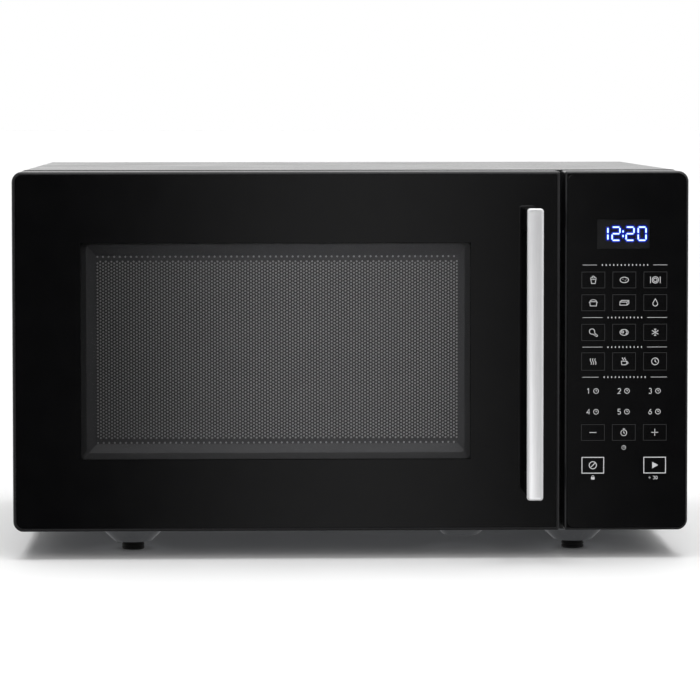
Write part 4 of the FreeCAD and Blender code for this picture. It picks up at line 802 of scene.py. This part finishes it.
class Ink:
    # flat printing on the fascia, drawn in millimetres right of and up from the fascia's top left corner
    def __init__(self, name, finish, proud):
        # nothing drawn yet
        self.name, self.finish, self.proud = name, finish, proud
        self.points, self.faces, self.count = [], [], 0

    def add(self, points, faces):
        # the faces' numbers go on from the points already there
        self.points.append(np.asarray(points, float))
        self.faces += [[self.count + v for v in face] for face in faces]
        self.count += len(points)

    def stroke(self, line, width, closed=False, at=(0, 0), scale=1.0):
        # ribbon along a scaled line about a point
        points, faces = ribbon(np.asarray(line, float) * scale + at, width, closed)
        self.add(points, faces.tolist())

    def fill(self, outline, at=(0, 0), scale=1.0):
        # one face in a scaled outline about a point
        self.add(np.asarray(outline, float) * scale + at, [list(range(len(outline)))])

    def make(self):
        # every face is turned to the front
        flat = np.concatenate(self.points) * mm
        y = np.full(len(flat), fasciaLow[1] - self.proud)
        points = np.column_stack([fasciaLow[0] + flat[:, 0], y, fasciaHigh[2] + flat[:, 1]])
        piece = toPiece(self.name, points, self.faces, self.finish, "cabinet", slot="fascia_gloss",
                        smooth=False)
        work = bmesh.new()
        work.from_mesh(piece.data)
        work.normal_update()
        bmesh.ops.reverse_faces(work, faces=[face for face in work.faces if face.normal.y > 0])
        work.to_mesh(piece.data)
        work.free()


def boxOf(wide, high, x=0.0, y=0.0):
    # corners of a box about a point
    return [(x - wide / 2, y - high / 2), (x + wide / 2, y - high / 2), (x + wide / 2, y + high / 2),
            (x - wide / 2, y + high / 2)]


def waves(xs, low, high):
    # upright steam lines: x + 0.5 sin over one turn
    y = np.linspace(low, high, 13)
    swing = 0.5 * np.sin((y - low) / (high - low) * 2 * math.pi)
    return [(np.stack([x + swing, y], -1),) for x in xs]


def spokes(count, inner, outer, turn=90):
    # short lines from the inner radius to the outer one, evenly turned
    angles = np.radians(turn + 360 / count * np.arange(count))
    return [([(inner * math.cos(a), inner * math.sin(a)), (outer * math.cos(a), outer * math.sin(a))],)
            for a in angles]


ring, dial = arcOf(0, 0, 2.7, steps=28), [([(0, 1.5), (0, 0), (1.1, -0.7)],)]
icons = {  # lines in millimetres about the middle of a key; a mark closes or fills one, others are open
    "popcorn": [([(-2, 0.5), (-1.4, -2.8), (1.4, -2.8), (2, 0.5)], "closed"),
        (arcOf(-1.2, 1.1, 0.95, 20, 230),), (arcOf(0, 2, 1.0, -20, 200),),
        (arcOf(1.2, 1.1, 0.95, -50, 160),)],
    "potato": [(arcOf(0, 0, 3.3, squash=0.66, steps=28), "closed"), ([(-1.4, 0.5), (-0.8, 0.7)],),
        ([(0.4, -0.7), (1.0, -0.6)],), ([(1.2, 0.8), (1.7, 0.5)],)],
    "dinner": [(arcOf(0, 0, 2.5, steps=26), "closed"), (arcOf(0, 0, 1.4, steps=20), "closed"),
        ([(-3.8, 2.6), (-3.8, -2.6)],), ([(3.8, 2.6), (3.8, -2.6)],)],
    "pot": [([(-2.7, 0.8), (-2.4, -2.5), (2.4, -2.5), (2.7, 0.8)], "closed"), ([(-3.5, 0.1), (-2.7, 0.1)],),
        ([(2.7, 0.1), (3.5, 0.1)],), (arcOf(0, 0.9, 2.6, 20, 160, 0.55),)],
    "butter": [([(-3.4, -1.9), (2.2, -1.9), (2.2, 0.5), (-3.4, 0.5)], "closed"),
        ([(-3.4, 0.5), (-2.0, 1.8), (3.6, 1.8), (2.2, 0.5)],),
        ([(3.6, 1.8), (3.6, -0.6), (2.2, -1.9)],)],
    "drop": [(np.concatenate([arcOf(0, -0.8, 1.9, 150, 390), [(0, 3.0)]]), "closed")],
    "poultry": [(arcOf(-0.9, 0.7, 2.1, -20, 290),), ([(0.9, -0.2), (2.5, -1.9)],),
        ([(-0.1, -1.4), (1.8, -2.6)],), (arcOf(2.6, -2.5, 0.7, -150, 90),)],
    "meat": [(arcOf(0, 0, 3.2, squash=0.72, steps=28), "closed"), (arcOf(-1.2, 0.3, 0.8, steps=14), "closed"),
        (arcOf(0, 0, 2.2, -60, 60, 0.7),)],
    "frost": spokes(6, 0, 2.9) + [([(x - 0.8, y), (x, y - s), (x + 0.8, y)],)
        for x, y, s in ((0, 2.6, 0.9), (0, -2.6, -0.9))],
    "steam": waves((-1.8, 0, 1.8), -2.4, 2.4),
    "warm": waves((-0.9, 0.9), 0.9, 3.0) + [([(-2.2, 0.2), (-1.7, -2.6), (1.7, -2.6), (2.2, 0.2)], "closed"),
        (arcOf(2.2, -1.1, 0.9, -80, 80),)],
    "power": [(ring, "closed")] + dial,
    "minus": [([(-2.7, 0), (2.7, 0)],)],
    "timer": [(arcOf(0, -0.3, 2.3, steps=26), "closed"), ([(0, 2.0), (0, 2.9)],),
        ([(-0.8, 2.9), (0.8, 2.9)],), ([(0, 1.0), (0, -0.3), (0.9, -0.8)],)],
    "plus": [([(-2.7, 0), (2.7, 0)],), ([(0, -2.7), (0, 2.7)],)],
    "minute": [(arcOf(0, 0, 1.75), "closed"), ([(0, 1.1), (0, 0), (0.8, 0)],)],
    "stop": [(arcOf(0, 0, 2.6, steps=28), "closed"), ([(-1.8, -1.8), (1.8, 1.8)],)],
    "start": [([(-1.8, -2.4), (2.6, 0), (-1.8, 2.4)], "filled")],
    "lock": [(boxOf(2.6, 1.8, 0, -0.4), "filled"), (arcOf(0, 0.6, 0.85, 0, 180),)],
    "more": [([(-0.8, 0), (0.8, 0)],), ([(0, -0.8), (0, 0.8)],)],
    "hold": [(arcOf(0, 0, 1.4), "closed"), ([(0, 0.9), (0, 0), (0.6, -0.3)],)],
}
numerals = {  # strokes in a box 0.6 wide and 1 high
    "0": [(arcOf(0.3, 0.5, 0.3, squash=1.6, steps=20), "closed")],
    "1": [([(0.1, 0.8), (0.35, 1), (0.35, 0)],)],
    "2": [(np.concatenate([arcOf(0.3, 0.7, 0.28, 160, -40, steps=9), [(0.02, 0), (0.6, 0)]]),)],
    "3": [(arcOf(0.28, 0.74, 0.26, 150, -85, steps=10),),
        (arcOf(0.28, 0.26, 0.28, 85, -150, steps=10),)],
    "4": [([(0.45, 0), (0.45, 1), (0, 0.3), (0.62, 0.3)],)],
    "5": [([(0.55, 1), (0.1, 1), (0.06, 0.56), *arcOf(0.27, 0.31, 0.31, 110, -140, steps=10)],)],
    "6": [(arcOf(0.3, 0.3, 0.28, steps=18), "closed"), ([(0.5, 0.98), (0.2, 0.7), (0.03, 0.38)],)],
}
panel = {
    "columns": (18.8, 41.1, 63.5), "keyWide": 16.6, "hairline": 0.36, "boldLine": 0.62, "pen": 0.46,
    "iconRows": ((-76.6, 11.5, ("popcorn", "potato", "dinner")),
        (-93.0, 11.5, ("pot", "butter", "drop")),
        (-114.4, 11.8, ("poultry", "meat", "frost")),
        (-135.4, 12.6, ("steam", "warm", "power")),
        (-186.7, 11.4, ("minus", "timer", "plus"))),
    "headers": ((-65.8, 16.3), (-103.7, 12.1), (-125.0, 12.1), (-146.7, 14.8)),
    "ruleEnds": (11.1, 72.1), "minuteRows": ((-156.7, "123"), (-171.7, "456")),
    "boldRow": (-210.4, 11.4), "captionRow": -219.4, "holdRow": -197.6, "iconScale": 0.92,
    "ruleGap": 4, "rulePen": 0.3, "diamond": (0.5, 0.8), "diamondsPerMm": 0.8,
    "digitShift": -3.4, "digitHigh": 3.7, "dialShift": 2.2, "dialPen": 0.4, "boldLess": 0.9,
    "boldPen": 0.6, "captionPen": 0.36, "captionShift": -3.6, "captionDigits": (0.4, 2.2),
    "holdPen": 0.34,
    "proud": 0.03 * mm, "inkProud": 0.045 * mm}


def drawIcon(ink, name, at, width, scale=1.0):
    # each line of the icon stroked or filled about a point
    for line, *mark in icons[name]:
        if "filled" in mark:
            ink.fill(line, at, scale)
        else:
            ink.stroke(line, width, "closed" in mark, at, scale)


def drawNumber(ink, text, at, high, width):
    # numerals side by side, centred on a point
    step = 0.85 * high
    for order, digit in enumerate(text):
        left = at[0] + (order - (len(text) - 1) / 2) * step - 0.3 * high
        for line, *mark in numerals[digit]:
            ink.stroke(line, width, "closed" in mark, (left, at[1] - high / 2), high)


def drawPanel(size):
    # dim key outlines and bright marks, row by row
    dim = Ink("keyOutlines", "outlineInk", size["proud"])
    ink = Ink("keyMarks", "legendInk", size["inkProud"])
    pen, columns = size["pen"], size["columns"]
    for y, high, names in size["iconRows"]:
        for x, name in zip(columns, names):
            dim.stroke(boxOf(size["keyWide"], high, x, y), size["hairline"], True)
            drawIcon(ink, name, (x, y), pen, size["iconScale"])
    middle, (wide, tall) = sum(size["ruleEnds"]) / 2, size["diamond"]
    for y, half in size["headers"]:
        reach = half + size["ruleGap"]
        for end, edge in zip(size["ruleEnds"], (middle - reach, middle + reach)):
            ink.stroke([(end, y), (edge, y)], size["rulePen"])
        for x in np.linspace(middle - half, middle + half, round(half * size["diamondsPerMm"])):
            ink.fill([(x - wide, y), (x, y - tall), (x + wide, y), (x, y + tall)])
    for y, digits in size["minuteRows"]:
        for x, digit in zip(columns, digits):
            drawNumber(ink, digit, (x + size["digitShift"], y), size["digitHigh"], pen)
            drawIcon(ink, "minute", (x + size["dialShift"], y), size["dialPen"])
    y, high = size["boldRow"]
    for x, name in ((columns[0], "stop"), (columns[2], "start")):
        ink.stroke(boxOf(size["keyWide"] - size["boldLess"], high, x, y), size["boldLine"], True)
        drawIcon(ink, name, (x, y), size["boldPen"])
    low, caption, (shift, tall) = size["captionRow"], size["captionPen"], size["captionDigits"]
    drawIcon(ink, "lock", (columns[0], low), caption)
    drawIcon(ink, "more", (columns[2] + size["captionShift"], low), caption)
    drawNumber(ink, "30", (columns[2] + shift, low), tall, caption)
    drawIcon(ink, "hold", (columns[1], size["holdRow"]), size["holdPen"])
    dim.make()
    ink.make()


drawPanel(panel)
print("panel ready")

stage = {"floorHalf": 40.0, "sun": 2.3, "sunAngle": 50, "softbox": 35, "softboxSize": (3.0, 2.0),
         "softboxPlace": (0.7, -2.6, 1.7)}


def buildStage(size):
    # pale floor, a wide sun straight overhead and a softbox in front
    half = size["floorHalf"]
    corners = [(-half, -half, 0), (half, -half, 0), (half, half, 0), (-half, half, 0)]
    floor = toPiece("floor", corners, [(0, 1, 2, 3)], "paleFloor", smooth=False)
    floor.visible_glossy = False
    sun = shown("sun", bpy.data.lights.new("sun", "SUN"))
    sun.data.energy = size["sun"]
    sun.data.angle = math.radians(size["sunAngle"])
    lamp = shown("frontSoftbox", bpy.data.lights.new("frontSoftbox", "AREA"))
    lamp.data.shape = "RECTANGLE"
    lamp.data.size, lamp.data.size_y = size["softboxSize"]
    lamp.data.energy = size["softbox"]
    lamp.location = size["softboxPlace"]
    lamp.rotation_euler = (Vector((0, 0, 0.15)) - lamp.location).to_track_quat("-Z", "Y").to_euler()


surround = {
    "soft": 0.42, "seen": 1.0, "glow": 0.38, "glowSlope": 0.036, "glowReach": 0.102,
    "leastAhead": 0.05,  # each row from here is (low, high, from, to) along one direction
    "above": (0, 1.0, 0.05, 0.4), "sides": (0, 1.0, 0.3, 0.8), "behind": (0, 1.15, 0.1, 0.7),
    "level": (0, 1, -0.5, -0.15), "below": (0.13, 0, -0.4, -0.15),
    "lipOver": (0.5, 0, -0.27, -0.17), "lipUnder": (0, 1, -0.6, -0.4)}


def lightWorld(size):
    # white to the eye, even for soft light; mirrors see it bright behind and beside, dark in front,
    # where a glow fades with the sideways slope x / -y
    world = bpy.data.worlds.new("studio")
    scene.world = world
    world.use_nodes = True
    tree = world.node_tree

    def along(direction, name):
        # one row's smooth range
        return ranged(tree, direction, *size[name], True)

    def highest(*levels):
        # the largest of several levels
        best = levels[0]
        for level in levels[1:]:
            best = worked(tree, "MAXIMUM", best, level)
        return best

    x, y, z = added(tree, "SeparateXYZ", Vector=added(tree, "TexCoord").outputs["Generated"]).outputs
    ahead = highest(worked(tree, "MULTIPLY", y, -1.0), size["leastAhead"])
    slope = worked(tree, "DIVIDE", x, ahead)
    away = worked(tree, "ABSOLUTE", worked(tree, "SUBTRACT", slope, size["glowSlope"]))
    front = ranged(tree, away, size["glow"], 0, 0, size["glowReach"], True)
    beside = along(worked(tree, "ABSOLUTE", x), "sides")
    bright = highest(front, along(z, "above"), beside, along(y, "behind"))
    band = worked(tree, "MULTIPLY", along(z, "lipOver"), along(z, "lipUnder"))  # floor under the lower edges
    mirrored = highest(worked(tree, "MULTIPLY", bright, along(z, "level")), band, along(z, "below"))
    path = added(tree, "LightPath").outputs
    glossy = mixed(tree, path["Is Glossy Ray"], (size["soft"],) * 3, mirrored)
    level = mixed(tree, path["Is Camera Ray"], glossy, (size["seen"],) * 3)
    tree.links.new(level, tree.nodes["Background"].inputs["Strength"])
    tree.nodes["Background"].inputs["Color"].default_value = (1, 1, 1, 1)


buildStage(stage)
lightWorld(surround)
print("stage ready")
